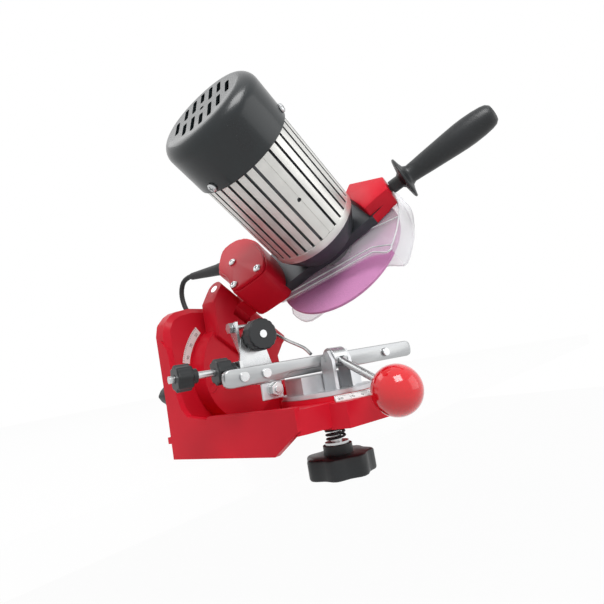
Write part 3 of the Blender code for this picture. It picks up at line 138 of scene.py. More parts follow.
# Wheel, guards and handle; a bead is a line in the guard's plane, and the handle's profile has radii and
# places along its axis
WHEEL_RADIUS = 0.0725
WHEEL_BORE = 0.0111
WHEEL_HALF = 0.0016
WHEEL_EDGE = 0.0005
GUARD_FACE = 0.0132
BEAD_RADIUS = 0.0007
# Beads are ribs on the guard's face, drawn in the painted highlight colour of its edges
GUARD_BEADS = (
    ((-0.0580, -0.0495), (-0.0490, -0.0565), (-0.0400, -0.0545), (0.0050, -0.0408), (0.0500, -0.0272),
     (0.0580, -0.0268), (0.0700, -0.0315), (0.0745, -0.0300)),
    ((-0.0580, -0.0440), (-0.0480, -0.0492), (0.0000, -0.0350), (0.0480, -0.0207), (0.0570, -0.0200),
     (0.0755, -0.0240)),
    ((0.0745, -0.0300), (0.0775, -0.0050), (0.0755, 0.0230), (0.0655, 0.0500)),
    ((0.0770, 0.0110), (0.0600, 0.0085), (0.0422, 0.0071)),
)
HANDLE_AT = (0, 0.005, 0.0245)
HANDLE_PROFILE = (
    (0, 0.062), (0.004, 0.062), (0.004, 0.0825), (0.0062, 0.0825), (0.0065, 0.084), (0.0065, 0.0925),
    (0.0085, 0.0945), (0.019, 0.0962), (0.0212, 0.0972), (0.0214, 0.0982), (0.0208, 0.0992),
    (0.0150, 0.1005), (0.0105, 0.1020), (0.0089, 0.1050), (0.0094, 0.112), (0.0103, 0.122),
    (0.0113, 0.135), (0.0124, 0.149), (0.0131, 0.160), (0.0132, 0.168), (0.0127, 0.178),
    (0.0117, 0.186), (0.0104, 0.1905), (0.0080, 0.1932), (0.0045, 0.1938), (0, 0.1938),
)

# Lever, in the vise's frame
HUB_AT = (0, -0.0191, -0.004)
BALL_AT = (0, -0.0877, -0.0359)
BALL_STEPS = 32
ROUND_STEPS = 64

# Scales: radii from the head's pivot and from the vise's axis. Ticks have a start, an end, a count and
# the steps between long ones; figures have a place, in degrees or in shares of SWIVEL_FIGURES_HALF
TILT_TICKS_AT = 0.0602
TILT_TICKS = (math.radians(130), math.radians(164), 18, 3)
TILT_FIGURES = ((134, "50"), (147, "70"), (160, "90"))
TILT_FIGURES_AT = 0.0556
TILT_FIGURE_SIZE = 0.0040
SCALE_INNER = 0.0429
SCALE_OUTER = 0.0522
SCALE_HIGH = 0.0374
SCALE_LOW = 0.0340
SCALE_THICK = 0.0008
SCALE_MIDDLE = math.radians(-110)
SCALE_HALF = math.radians(28)
SCALE_STEPS = 14
SWIVEL_TICKS_HALF = SCALE_HALF * 0.94
SWIVEL_TICKS = (SCALE_MIDDLE - SWIVEL_TICKS_HALF, SCALE_MIDDLE + SWIVEL_TICKS_HALF, 30, 5)
SWIVEL_FIGURES = ((-1, "20"), (-0.5, "10"), (0, "0"), (0.5, "10"), (1, "20"))
SWIVEL_FIGURES_HALF = SCALE_HALF * 0.82
SWIVEL_TICKS_IN = 0.0016
SWIVEL_FIGURES_IN = 0.0030
SWIVEL_FIGURE_SIZE = 0.0048
LONG_TICK = 0.0022
SHORT_TICK = 0.0013
TICK_WIDTH = 0.0003
INK = 0.00008

# Plate and nut below the front jaw, in the vise's frame seen from the front; a round has its sides,
# radius, depth and height
JAW_LOW = -0.0147
NUT_PLATE = ((-0.069, -0.0145), (-0.050, -0.0145), (-0.050, -0.0004), (-0.069, -0.0004))
NUT_PLATE_BACK = 0.0050
NUT_PLATE_FRONT = 0.0078
NUT_AT = (-0.0575, -0.0068)
NUT_ROUNDS = ((6, 0.0058, 0.0046, 0.0029), (32, 0.0066, 0.0006, 0.0003), (24, 0.0029, 0.0014, 0.0059))

# Stage and camera; a lamp has its place, size and power, and the camera was fitted to the photograph
BENCH = ((-1.5, 0.045), (1.5, 0.045), (1.5, 2.5), (-1.5, 2.5))
BENCH_UNDER = -0.03
BENCH_TOP = -0.0002
FLOOR_HALF = 6
FLOOR_AT = -0.75
STAGE_GLOW = 0.965
ROOM_LIGHT = 0.42
LAMP_AIM = (0.0, 0.03, 0.14)
LAMPS = (("key_light", (-0.7, -0.9, 1.5), 0.9, 24), ("fill_light", (0.7, -1.5, 0.5), 1.2, 5),
         ("back_light", (-0.2, 0.8, 1.25), 0.8, 3))
PHOTO_WIDTH = 604
PHOTO_FOCAL = 506.75
SENSOR = 36.0
CAMERA_AT = (-0.3657, -0.2739, 0.0691)
CAMERA_RIGHT = (0.6224, -0.7645, -0.168)
CAMERA_UP = (0.0151, -0.2028, 0.9791)
CAMERA_BACK = (-0.7826, -0.6119, -0.1147)

# Meshes: angles from which an edge is sharp or a face no longer flat, and distances that merge doubles
CREASE = math.radians(32)
SOFT_CREASE = math.radians(50)
FLAT_ENOUGH = math.radians(0.6)
MERGE = 0.000002
FINE_MERGE = 0.000001

FINISHES = {}


# Sizes and colours a user may change
class GrinderPaint(bpy.types.PropertyGroup):
    red: bpy.props.FloatVectorProperty(
        name="Casting red", description="Powder coat of the castings", subtype="COLOR", size=3,
        min=0.0, max=1.0, default=(0.70, 0.012, 0.030))
    ball_red: bpy.props.FloatVectorProperty(
        name="Ball red", description="Plastic of the lever's ball", subtype="COLOR", size=3,
        min=0.0, max=1.0, default=(0.78, 0.008, 0.016))
    stone: bpy.props.FloatVectorProperty(
        name="Wheel pink", description="Abrasive of the grinding wheel", subtype="COLOR", size=3,
        min=0.0, max=1.0, default=(0.80, 0.34, 0.65))
    fins: bpy.props.FloatVectorProperty(
        name="Fin silver", description="Extruded motor body", subtype="COLOR", size=3,
        min=0.0, max=1.0, default=(0.74, 0.74, 0.71))


class GrinderSizes(bpy.types.PropertyGroup):
    edge: bpy.props.FloatProperty(
        name="Casting edge", description="Rounding of the castings' edges", unit="LENGTH",
        min=0.0001, max=0.003, default=0.0011)
    round_steps: bpy.props.IntProperty(
        name="Round steps", description="Steps round the turned pieces", min=24, max=192, default=96)
    ball: bpy.props.FloatProperty(
        name="Ball radius", description="Radius of the lever's ball", unit="LENGTH",
        min=0.01, max=0.03, default=0.0199)


# Shader group that the finishes share: fine grain and cloudy tone
def grain_group():
    group = bpy.data.node_groups.get("surface_grain")
    if group:
        return group
    group = bpy.data.node_groups.new("surface_grain", "ShaderNodeTree")
    face = group.interface
    face.new_socket("Vector", in_out="INPUT", socket_type="NodeSocketVector")
    for name, value in (("Fine Scale", 900.0), ("Cloud Scale", 30.0)):
        socket = face.new_socket(name, in_out="INPUT", socket_type="NodeSocketFloat")
        socket.default_value = value
    face.new_socket("Fine", in_out="OUTPUT", socket_type="NodeSocketFloat")
    face.new_socket("Cloud", in_out="OUTPUT", socket_type="NodeSocketFloat")
    nodes, links = group.nodes, group.links
    enter = nodes.new("NodeGroupInput")
    leave = nodes.new("NodeGroupOutput")
    for scale, detail, out in (("Fine Scale", 3.0, "Fine"), ("Cloud Scale", 5.0, "Cloud")):
        noise = nodes.new("ShaderNodeTexNoise")
        noise.inputs["Detail"].default_value = detail
        links.new(enter.outputs["Vector"], noise.inputs["Vector"])
        links.new(enter.outputs[scale], noise.inputs["Scale"])
        links.new(noise.outputs["Fac"], leave.inputs[out])
    return group


def finish(name, light, dark, rough, metallic=0.0, coat=0.0, fine=900.0, cloud=30.0, bump=0.05,
           stretch=(1, 1, 1), depth=0.0002, turn=(0, 0, 0), speckle=False, clear=1.0, shine=0.4):
    """A material whose tone, roughness and relief vary with the shared grain."""
    made = bpy.data.materials.new(name)
    made.use_nodes = True
    nodes, links = made.node_tree.nodes, made.node_tree.links
    shader = nodes["Principled BSDF"]
    place = nodes.new("ShaderNodeTexCoord")
    mapping = nodes.new("ShaderNodeMapping")
    mapping.inputs["Scale"].default_value = stretch
    mapping.inputs["Rotation"].default_value = turn
    links.new(place.outputs["Object"], mapping.inputs["Vector"])
    grain = nodes.new("ShaderNodeGroup")
    grain.node_tree = grain_group()
    grain.inputs["Fine Scale"].default_value = fine
    grain.inputs["Cloud Scale"].default_value = cloud
    links.new(mapping.outputs["Vector"], grain.inputs["Vector"])
    tone = nodes.new("ShaderNodeValToRGB")
    lower, upper = (0.38, 0.62) if speckle else (0.3, 0.7)
    tone.color_ramp.elements[0].position = lower
    tone.color_ramp.elements[1].position = upper
    tone.color_ramp.elements[0].color = (*dark, 1)
    tone.color_ramp.elements[1].color = (*light, 1)
    links.new(grain.outputs["Fine" if speckle else "Cloud"], tone.inputs["Fac"])
    links.new(tone.outputs["Color"], shader.inputs["Base Color"])
    span = nodes.new("ShaderNodeMapRange")
    span.inputs["To Min"].default_value = rough[0]
    span.inputs["To Max"].default_value = rough[1]
    links.new(grain.outputs["Cloud"], span.inputs["Value"])
    links.new(span.outputs["Result"], shader.inputs["Roughness"])
    relief = nodes.new("ShaderNodeBump")
    relief.inputs["Strength"].default_value = bump
    relief.inputs["Distance"].default_value = depth
    links.new(grain.outputs["Fine"], relief.inputs["Height"])
    links.new(relief.outputs["Normal"], shader.inputs["Normal"])
    shader.inputs["Metallic"].default_value = metallic
    shader.inputs["Coat Weight"].default_value = coat
    shader.inputs["Coat Roughness"].default_value = 0.08
    shader.inputs["Alpha"].default_value = clear
    if metallic == 0.0:
        shader.inputs["Specular IOR Level"].default_value = shine
    FINISHES[name] = made


def shaded(colour, share):
    return tuple(value * share for value in colour)


def finishes():
    paint = bpy.context.scene.grinder_paint
    red, ball, stone, fins = map(tuple, (paint.red, paint.ball_red, paint.stone, paint.fins))
    finish("red_powder_coat", red, shaded(red, 0.86), (0.30, 0.40), coat=0.05, fine=1300, cloud=14,
           bump=0.10, shine=0.14)
    finish("red_ball", ball, shaded(ball, 0.95), (0.08, 0.14), coat=0.6, fine=500, cloud=20, bump=0.01)
    finish("black_moulding", (0.013, 0.015, 0.017), (0.008, 0.010, 0.011), (0.36, 0.48), fine=2200,
           cloud=40, bump=0.14, coat=0.05)
    finish("cover_moulding", (0.010, 0.015, 0.017), (0.007, 0.010, 0.012), (0.24, 0.34), fine=2600,
           cloud=30, bump=0.08, coat=0.15)
    finish("soft_black", (0.016, 0.016, 0.017), (0.010, 0.010, 0.011), (0.5, 0.62), fine=1800, cloud=60,
           bump=0.08)
    finish("bright_zinc", (0.64, 0.65, 0.65), (0.50, 0.51, 0.52), (0.20, 0.36), metallic=1.0, fine=1600,
           cloud=90, bump=0.05)
    finish("brushed_rail", (0.50, 0.51, 0.51), (0.40, 0.41, 0.42), (0.28, 0.44), metallic=1.0, fine=700,
           cloud=60, bump=0.10, stretch=(0.10, 1.0, 2.5), turn=(0, 0, VISE_YAW))
    finish("motor_silver", fins, shaded(fins, 0.86), (0.30, 0.44), metallic=0.72, fine=1500, cloud=40,
           bump=0.06)
    finish("cast_silver", (0.66, 0.67, 0.68), (0.50, 0.51, 0.53), (0.34, 0.5), metallic=0.85, fine=900,
           cloud=50, bump=0.12)
    finish("clear_guard", (0.93, 0.945, 0.965), (0.90, 0.92, 0.95), (0.02, 0.07), fine=400, cloud=18,
           bump=0.01, clear=0.24)
    # Whitish, nearly opaque colour on the clear guards' rounded edges and ribs: painted highlight of the
    # light along them
    finish("guard_edge_highlight", (0.90, 0.90, 0.92), (0.70, 0.71, 0.75), (0.10, 0.2), fine=400, cloud=90,
           bump=0.01, clear=0.85)
    # Dark grey for the arm's web and the end bell's wheel side: painted shade behind the clear guard,
    # where a dark end cap also shows
    finish("cap_and_shade_dark", (0.060, 0.066, 0.074), (0.036, 0.040, 0.046), (0.30, 0.45), metallic=0.4,
           fine=900, cloud=50, bump=0.1)
    finish("pink_abrasive", stone, shaded(stone, 0.72), (0.8, 0.95), fine=2400, cloud=120, bump=0.5,
           speckle=True)
    finish("copper_winding", (0.60, 0.26, 0.12), (0.42, 0.17, 0.08), (0.3, 0.5), metallic=0.9, fine=900,
           cloud=60, bump=0.2)
    finish("scale_white", (0.86, 0.84, 0.83), (0.80, 0.78, 0.77), (0.30, 0.42), fine=1200, cloud=40,
           bump=0.02)
    finish("scale_ink", (0.03, 0.03, 0.03), (0.02, 0.02, 0.02), (0.4, 0.5), fine=1200, cloud=40,
           bump=0.02)
    # Darker grey on the walls of the motor body's slots and plug hole: painted shade in these recesses
    finish("painted_slot_shade", (0.20, 0.21, 0.22), (0.12, 0.13, 0.14), (0.45, 0.6), metallic=0.5, fine=900,
           cloud=60, bump=0.1)
    finish("dark_core", (0.05, 0.05, 0.055), (0.03, 0.03, 0.035), (0.5, 0.7), metallic=0.6, fine=900,
           cloud=60, bump=0.1)


# Helpers for shapes
def store(name, bm, material, crease=CREASE, place=None):
    """The bmesh as an object at the origin, its place in its mesh, smooth but at sharp edges."""
    if place is not None:
        bmesh.ops.transform(bm, matrix=place, verts=bm.verts[:])
    bmesh.ops.recalc_face_normals(bm, faces=bm.faces[:])
    for face in bm.faces:
        face.smooth = True
    mark_creases(bm, crease)
    mesh = bpy.data.meshes.new(name)
    bm.to_mesh(mesh)
    bm.free()
    piece = bpy.data.objects.new(name, mesh)
    bpy.context.scene.collection.objects.link(piece)
    mesh.materials.append(FINISHES[material])
    return piece


def mark_creases(bm, crease):
    """Edges that turn by less than the crease angle are smooth, the rest sharp."""
    for edge in bm.edges:
        edge.smooth = len(edge.link_faces) == 2 and edge.calc_face_angle(0.0) < crease


def round_edges(piece, width, segments=3):
    step = piece.modifiers.new("rounded_edges", "BEVEL")
    step.width = width
    step.segments = segments
    step.limit_method = "ANGLE"
    step.angle_limit = CREASE
    step.harden_normals = True
    return piece


def carry(piece, body, *nodes, slot=None):
    if nodes:
        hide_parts(*nodes)
    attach(piece, body)
    return piece


def dress(node, material, edge=0.0, segments=2, rim=None, other=None, rule=None):
    """A merged copy of a CAD node with rounded edges, which stands for it.
    rim is the finish of its edges, and other that of the faces that rule picks by their centre."""
    source = frame["nodes"][node]
    bm = bmesh.new()
    bm.from_mesh(source.data)
    bmesh.ops.remove_doubles(bm, verts=bm.verts[:], dist=MERGE)
    bmesh.ops.dissolve_limit(bm, angle_limit=FLAT_ENOUGH, verts=bm.verts[:], edges=bm.edges[:])
    if rule:
        for face in bm.faces:
            face.material_index = int(rule(face.calc_center_median()))
    piece = store(node + "_finished", bm, material)
    for extra in (other, rim):
        if extra:
            piece.data.materials.append(FINISHES[extra])
    if edge:
        round_edges(piece, edge, segments)
        if rim:
            piece.modifiers["rounded_edges"].material = len(piece.data.materials) - 1
    carry(piece, source["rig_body"], node)


def spun(profile, steps, closed=False):
    """The profile of radii and heights turned once round the Z axis."""
    bm = bmesh.new()
    verts = [bm.verts.new((radius, 0, height)) for radius, height in profile]
    follow = verts[1:] + (verts[:1] if closed else [])
    edges = [bm.edges.new(pair) for pair in zip(verts, follow)]
    bmesh.ops.spin(bm, geom=verts + edges, cent=(0, 0, 0), axis=(0, 0, 1), dvec=(0, 0, 0),
                   angle=math.tau, steps=steps, use_merge=True, use_duplicate=False)
    bmesh.ops.remove_doubles(bm, verts=bm.verts[:], dist=MERGE)
    return bm


def arc(cx, cy, radius, start, end, steps):
    points = []
    for step in range(steps + 1):
        turn = math.radians(start + (end - start) * step / steps)
        points.append((cx + radius * math.cos(turn), cy + radius * math.sin(turn)))
    return points


def slab(bm, outline, low, high):
    face = bm.faces.new([bm.verts.new((x, y, low)) for x, y in outline])
    grown = bmesh.ops.extrude_face_region(bm, geom=[face])
    upper = [item for item in grown["geom"] if isinstance(item, bmesh.types.BMVert)]
    bmesh.ops.translate(bm, verts=upper, vec=(0, 0, high - low))


def carve(piece, cutter):
    """Cuts the cutter out of the piece for good and removes the cutter."""
    step = piece.modifiers.new("carve", "BOOLEAN")
    step.operation = "DIFFERENCE"
    step.solver = "EXACT"
    step.object = cutter
    bpy.context.view_layer.update()
    done = bpy.data.meshes.new_from_object(piece.evaluated_get(bpy.context.evaluated_depsgraph_get()))
    piece.modifiers.clear()
    piece.data = done
    bpy.data.objects.remove(cutter)
    bm = bmesh.new()
    bm.from_mesh(done)
    mark_creases(bm, CREASE)
    bm.to_mesh(done)
    bm.free()


class GrinderOperator:
    """Dresses the nodes of its table: node, finish, edge width and edge segments."""
    bl_options = {"REGISTER", "UNDO"}
    dressed = ()

    def execute(self, context):
        self.build(context.scene.grinder_sizes)
        return {"FINISHED"}

    def build(self, sizes):
        for row in self.dressed:
            dress(*row)


class AddCastings(GrinderOperator, bpy.types.Operator):
    """Base, tilt bracket, arm and hinge cover in red powder coat"""
    bl_idname = "grinder.castings"
    bl_label = "Castings"

    def build(self, sizes):
        dress("base_casting", "red_powder_coat", sizes.edge, 3)
        dress("tilt_bracket", "red_powder_coat", sizes.edge * 0.7, 3)
        to_motor = MOTOR.inverted()
        # The web's faces behind the clear guard get the dark grey of painted shade
        (left, right), (low, high), top = SHADED_WEB_AREA

        def shaded_under_guard(centre):
            spot = to_motor @ centre
            return left < spot.x < right and low < spot.z < high and spot.y < top

        dress("arm_casting", "red_powder_coat", sizes.edge * 0.5, 2, other="cap_and_shade_dark",
              rule=shaded_under_guard)
        dress("hinge_cover", "red_powder_coat", sizes.edge * 0.4, 2)


class AddMotor(GrinderOperator, bpy.types.Operator):
    """Finned motor body, end bell, vented fan cover, fan and windings"""
    bl_idname = "grinder.motor"
    bl_label = "Motor"

    def build(self, sizes):
        to_motor = MOTOR.inverted()

        # The end bell's wheel side gets the dark grey of painted shade behind the clear guard
        def shaded_below_rim(centre):
            return (to_motor @ centre).z < BELL_SHADED_BELOW

        dress("motor_end_bell", "motor_silver", 0.0005, other="cap_and_shade_dark", rule=shaded_below_rim)
        self.build_body()
        dress("stator", "copper_winding")
        dress("cooling_fan", "soft_black", 0.0003)
        self.build_cover(sizes)

    def build_cover(self, sizes):
        """Fan cover: a turned shell with rounded vents carved through its end."""
        middle, high = COVER_RADIUS - COVER_EDGE, COVER_END - COVER_EDGE
        flat = COVER_RADIUS * COVER_FLAT_SHARE
        profile = [(COVER_RADIUS - COVER_WALL, COVER_START), (COVER_RADIUS - COVER_LIP, COVER_START),
                   (COVER_RADIUS, COVER_START + COVER_LIP)]
        profile += arc(middle, high, COVER_EDGE, 0, 90, COVER_STEPS)
        profile += [(flat, COVER_END), (0, COVER_END), (0, COVER_END - COVER_WALL),
                    (flat, COVER_END - COVER_WALL)]
        profile += arc(middle, high, COVER_EDGE - COVER_WALL, 90, 0, COVER_STEPS)
        cover = store("fan_cover_shell", spun(profile, sizes.round_steps, closed=True), "cover_moulding",
                      place=MOTOR)
        bm = bmesh.new()
        for column, near, far in VENTS:
            across = column * VENT_PITCH
            corners = arc(across, far * VENT_REACH - VENT_HALF, VENT_HALF, 0, 180, VENT_STEPS)
            corners += arc(across, near * VENT_REACH + VENT_HALF, VENT_HALF, 180, 360, VENT_STEPS)
            slab(bm, corners, COVER_END - COVER_WALL * 2, COVER_END + COVER_WALL)
        turn = Matrix.Rotation(VENT_TURN, 4, "Z")
        carve(cover, store("vent_cutter", bm, "cover_moulding", place=MOTOR @ turn))
        round_edges(cover, 0.0003, 2)
        carry(cover, "arm", "fan_cover", slot="black_plastic")

    def build_body(self):
        """Extruded body: slots between fins, and a wide land with a plug hole in place of one slot."""
        pitch = 360.0 / BODY_SLOTS
        bm = bmesh.new()
        outside, inside = [], []
        for number in range(BODY_SLOTS):
            deep = BODY_RADIUS - LAND_DEPTH if number == BODY_LAND else BODY_ROOT
            for share, reach in ((-1, BODY_RADIUS), (-0.94, deep), (0.94, deep), (1, BODY_RADIUS),
                                 (2.2, BODY_RADIUS), (3.6, BODY_RADIUS), (5.0, BODY_RADIUS)):
                angle = math.radians(pitch * number + SLOT_HALF_TURN * share)
                for ring, radius in ((outside, reach), (inside, BODY_BORE)):
                    ring.append(bm.verts.new((radius * math.cos(angle), radius * math.sin(angle),
                                              BODY_START)))
        for loop in (outside, inside):
            for pair in zip(loop, loop[1:] + loop[:1]):
                bm.edges.new(pair)
        bridged = bmesh.ops.bridge_loops(bm, edges=bm.edges[:])
        grown = bmesh.ops.extrude_face_region(bm, geom=bridged["faces"], use_keep_orig=True)
        upper = [item for item in grown["geom"] if isinstance(item, bmesh.types.BMVert)]
        bmesh.ops.translate(bm, verts=upper, vec=(0, 0, BODY_END - BODY_START))
        # Slot walls get the second finish, a painted shade darker than the silver
        for face in bm.faces:
            reach = face.calc_center_median().xy.length
            in_slot = BODY_BORE * 1.01 < reach < BODY_RADIUS - LAND_DEPTH * 1.8
            face.material_index = int(abs(face.normal.z) < 0.5 and in_slot)
        body = store("body_extrusion", bm, "motor_silver", place=MOTOR)
        body.data.materials.append(FINISHES["painted_slot_shade"])
        bm = bmesh.new()
        bmesh.ops.create_cone(bm, cap_ends=True, segments=PLUG_HOLE_STEPS, radius1=PLUG_HOLE_RADIUS,
                              radius2=PLUG_HOLE_RADIUS, depth=PLUG_HOLE_DEPTH)
        # The plug hole's walls get the same painted shade
        for face in bm.faces:
            face.material_index = 1
        middle = math.radians(pitch * BODY_LAND)
        out = Vector((math.cos(middle), math.sin(middle), 0))
        lie = out.to_track_quat("Z", "Y").to_matrix().to_4x4()
        spot = Matrix.Translation(out * BODY_RADIUS + Vector((0, 0, PLUG_HOLE_AT)))
        hole = store("plug_hole", bm, "motor_silver", place=MOTOR @ spot @ lie)
        hole.data.materials.append(FINISHES["painted_slot_shade"])
        carve(body, hole)
        carry(body, "arm", "motor_body", slot="cast_aluminium")


class AddWheel(GrinderOperator, bpy.types.Operator):
    """Pink abrasive wheel with its flanges, nut and spindle"""
    bl_idname = "grinder.wheel"
    bl_label = "Grinding wheel"
    dressed = (("inner_flange", "bright_zinc", 0.0004), ("outer_flange", "bright_zinc", 0.0004),
               ("wheel_nut", "bright_zinc", 0.0004), ("rotor_shaft", "dark_core", 0.0003))

    def build(self, sizes):
        bore, outer, half = WHEEL_BORE, WHEEL_RADIUS, WHEEL_HALF
        rim, corner = outer - WHEEL_EDGE, half - WHEEL_EDGE
        profile = [(bore, -half), (outer * 0.5, -half), (rim, -half), (outer, -corner),
                   (outer, corner), (rim, half), (outer * 0.5, half), (bore, half)]
        wheel = store("wheel_disc", spun(profile, sizes.round_steps, closed=True), "pink_abrasive",
                      place=MOTOR)
        carry(wheel, "rotor", "grinding_wheel", slot="pink_abrasive")
        super().build(sizes)


class AddGuards(GrinderOperator, bpy.types.Operator):
    """Clear near and far guards with their ribs"""
    bl_idname = "grinder.guards"
    bl_label = "Guards"

    def build(self, sizes):
        # The guards' rounded edges take the painted highlight colour
        dress("near_guard", "clear_guard", 0.0005, 1, rim="guard_edge_highlight")
        dress("far_guard", "clear_guard", 0.0005, 1, rim="guard_edge_highlight")
        # Ribs drawn as thin tubes in the same painted highlight colour
        for number, line in enumerate(GUARD_BEADS):
            points = smooth_path([SHIELD @ Vector((x, y, GUARD_FACE)) for x, y in line], 4)
            bead = lead("guard_bead_%d" % number, points, BEAD_RADIUS, "guard_edge_highlight")
            carry(bead, "arm", slot="clear_guard")


class AddHandle(GrinderOperator, bpy.types.Operator):
    """Black handle with its thumb disc"""
    bl_idname = "grinder.handle"
    bl_label = "Handle"

    def build(self, sizes):
        place = MOTOR @ Matrix.Translation(HANDLE_AT) @ ALONG_X
        grip = store("handle_moulding", spun(HANDLE_PROFILE, ROUND_STEPS), "black_moulding",
                     crease=SOFT_CREASE, place=place)
        carry(grip, "arm", "handle_grip", slot="black_plastic")


class AddVise(GrinderOperator, bpy.types.Operator):
    """Turntable, jaws, rivets and the stops on them"""
    bl_idname = "grinder.vise"
    bl_label = "Vise"
    dressed = (
        ("turntable", "cast_silver", 0.0005), ("front_rail", "brushed_rail", 0.0004),
        ("rear_rail", "brushed_rail", 0.0004), ("rail_rivet_1", "bright_zinc", 0.0006, 3),
        ("rail_rivet_2", "bright_zinc", 0.0006, 3), ("rail_rivet_3", "bright_zinc", 0.0006, 3),
        ("stop_plate", "bright_zinc", 0.0003), ("pawl_plate", "bright_zinc", 0.0003),
        ("pawl_bolt", "bright_zinc", 0.0003), ("stop_rod", "bright_zinc"), ("pawl_stud", "bright_zinc"),
        ("stop_pawl", "bright_zinc"),
    )


class AddLever(GrinderOperator, bpy.types.Operator):
    """Clamping lever with its red ball"""
    bl_idname = "grinder.lever"
    bl_label = "Ball lever"
    dressed = (("lever_hub", "bright_zinc", 0.0006, 3), ("lever_rod", "bright_zinc", 0.0003))

    def build(self, sizes):
        super().build(sizes)
        hub = Vector(HUB_AT)
        reach = Vector(BALL_AT) - hub
        lie = reach.to_track_quat("Z", "Y").to_matrix().to_4x4()
        place = VISE @ Matrix.Translation(hub) @ lie @ Matrix.Translation((0, 0, reach.length))
        profile = arc(0, 0, sizes.ball, -90, 90, BALL_STEPS)
        profile[0] = (0, profile[0][1])
        profile[-1] = (0, profile[-1][1])
        ball = store("lever_ball_shell", spun(profile, ROUND_STEPS), "red_ball", place=place)
        carry(ball, "clamp_lever", "lever_ball", slot="red_gloss")


class AddKnobs(GrinderOperator, bpy.types.Operator):
    """Black star knobs and the lobed lock knob"""
    bl_idname = "grinder.knobs"
    bl_label = "Knobs"
    dressed = (
        ("stop_knob", "black_moulding", 0.0003), ("lock_collar_knob", "black_moulding", 0.0003),
        ("pawl_knob", "black_moulding", 0.0003), ("tilt_lock_knob", "black_moulding", 0.0006),
        ("lock_knob", "black_moulding", 0.0006),
    )


class AddSmallParts(GrinderOperator, bpy.types.Operator):
    """Screws, pins, washer, spring, switch and scale plate"""
    bl_idname = "grinder.small_parts"
    bl_label = "Small parts"
    dressed = (
        ("cover_screw_1", "bright_zinc", 0.0002), ("cover_screw_2", "bright_zinc", 0.0002),
        ("cover_screw_3", "bright_zinc", 0.0002), ("fan_cover_screw_1", "bright_zinc", 0.0002),
        ("fan_cover_screw_2", "bright_zinc", 0.0002), ("guard_screw_1", "bright_zinc", 0.0002),
        ("guard_screw_2", "bright_zinc", 0.0002), ("hinge_pin", "bright_zinc"),
        ("pivot_bolt", "bright_zinc"), ("table_stud", "bright_zinc"), ("lock_washer", "bright_zinc"),
        ("tilt_stud", "red_powder_coat"), ("lock_spring", "dark_core"),
        ("switch_body", "black_moulding", 0.0004), ("switch_rocker", "red_ball", 0.0004),
        ("tilt_scale_plate", "scale_white"), ("strain_relief", "soft_black", 0.0004),
        ("cord_tie", "soft_black", 0.0003), ("plug", "soft_black", 0.0006, 3),
    )


class AddScales(GrinderOperator, bpy.types.Operator):
    """Tilt scale and swivel scale with tick marks and plain numbers"""
    bl_idname = "grinder.scales"
    bl_label = "Scales"

    def build(self, sizes):
        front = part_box("tilt_scale_plate")[0].y
        wall = Matrix.Translation((0, front, RAIL_TOP)) @ FACING_FRONT
        self.ticks("tilt_ticks", wall, TILT_TICKS_AT, *TILT_TICKS)
        for number, (degrees, words) in enumerate(TILT_FIGURES):
            turn = math.radians(degrees)
            self.figure("tilt_figure_%d" % number, words, wall, TILT_FIGURES_AT, turn, turn - math.pi / 2,
                        TILT_FIGURE_SIZE)
        self.swivel_plate()
        flat = Matrix.Translation((0, 0, SCALE_LOW))
        self.ticks("swivel_ticks", flat, SCALE_INNER + SWIVEL_TICKS_IN, *SWIVEL_TICKS)
        for number, (share, words) in enumerate(SWIVEL_FIGURES):
            turn = SCALE_MIDDLE + SWIVEL_FIGURES_HALF * share
            self.figure("swivel_figure_%d" % number, words, flat, SCALE_OUTER - SWIVEL_FIGURES_IN, turn,
                        turn + math.pi / 2, SWIVEL_FIGURE_SIZE)

    def swivel_plate(self):
        """White band that slopes down from the turntable's boss to the lobe's edge."""
        under = SCALE_LOW - SCALE_THICK
        section = ((SCALE_INNER, SCALE_HIGH), (SCALE_OUTER, SCALE_LOW), (SCALE_OUTER, under),
                   (SCALE_INNER, under))
        bm = bmesh.new()
        rows = []
        for step in range(SCALE_STEPS * 2 + 1):
            turn = SCALE_MIDDLE + SCALE_HALF * (step / SCALE_STEPS - 1)
            way = Vector((math.cos(turn), math.sin(turn), 0))
            rows.append([bm.verts.new(way * reach + Vector((0, 0, height))) for reach, height in section])
        for first, second in zip(rows, rows[1:]):
            for side in range(4):
                bm.faces.new((first[side], first[side - 1], second[side - 1], second[side]))
        bm.faces.new(rows[0])
        bm.faces.new(rows[-1][::-1])
        carry(store("swivel_scale", bm, "scale_white"), "base", slot="scale_plate")

    def ticks(self, name, place, reach, start, end, count, long_every):
        """Thin marks that point to the scale's centre, every so many of them longer."""
        bm = bmesh.new()
        for number in range(count + 1):
            length = LONG_TICK if number % long_every == 0 else SHORT_TICK
            made = bmesh.ops.create_cube(bm, size=1)
            turn = start + (end - start) * number / count
            lie = (Matrix.Rotation(turn, 4, "Z") @ Matrix.Translation((reach, 0, INK / 2))
                   @ Matrix.Diagonal((length, TICK_WIDTH, INK, 1)))
            bmesh.ops.transform(bm, matrix=place @ lie, verts=made["verts"])
        self.print_on(name, bm)

    def figure(self, name, words, place, reach, turn, upright, size):
        """A plain number at the reach and turn from the scale's centre."""
        text = bpy.data.curves.new(name, "FONT")
        text.body = words
        text.size = size
        text.align_x = "CENTER"
        text.align_y = "CENTER"
        text.extrude = INK / 2
        bm = drawn_mesh(name, text, FINE_MERGE)
        spot = Vector((reach * math.cos(turn), reach * math.sin(turn), INK / 2))
        lie = Matrix.Translation(spot) @ Matrix.Rotation(upright, 4, "Z")
        bmesh.ops.transform(bm, matrix=place @ lie, verts=bm.verts[:])
        self.print_on(name, bm)

    def print_on(self, name, bm):
        """Stores the marks on the base, lifted on to the slope where they are the swivel scale's."""
        if name.startswith("swivel"):
            for vert in bm.verts:
                share = (SCALE_OUTER - math.hypot(vert.co.x, vert.co.y)) / (SCALE_OUTER - SCALE_INNER)
                vert.co.z += (SCALE_HIGH - SCALE_LOW) * share
        carry(store(name, bm, "scale_ink"), "base", slot="scale_plate")


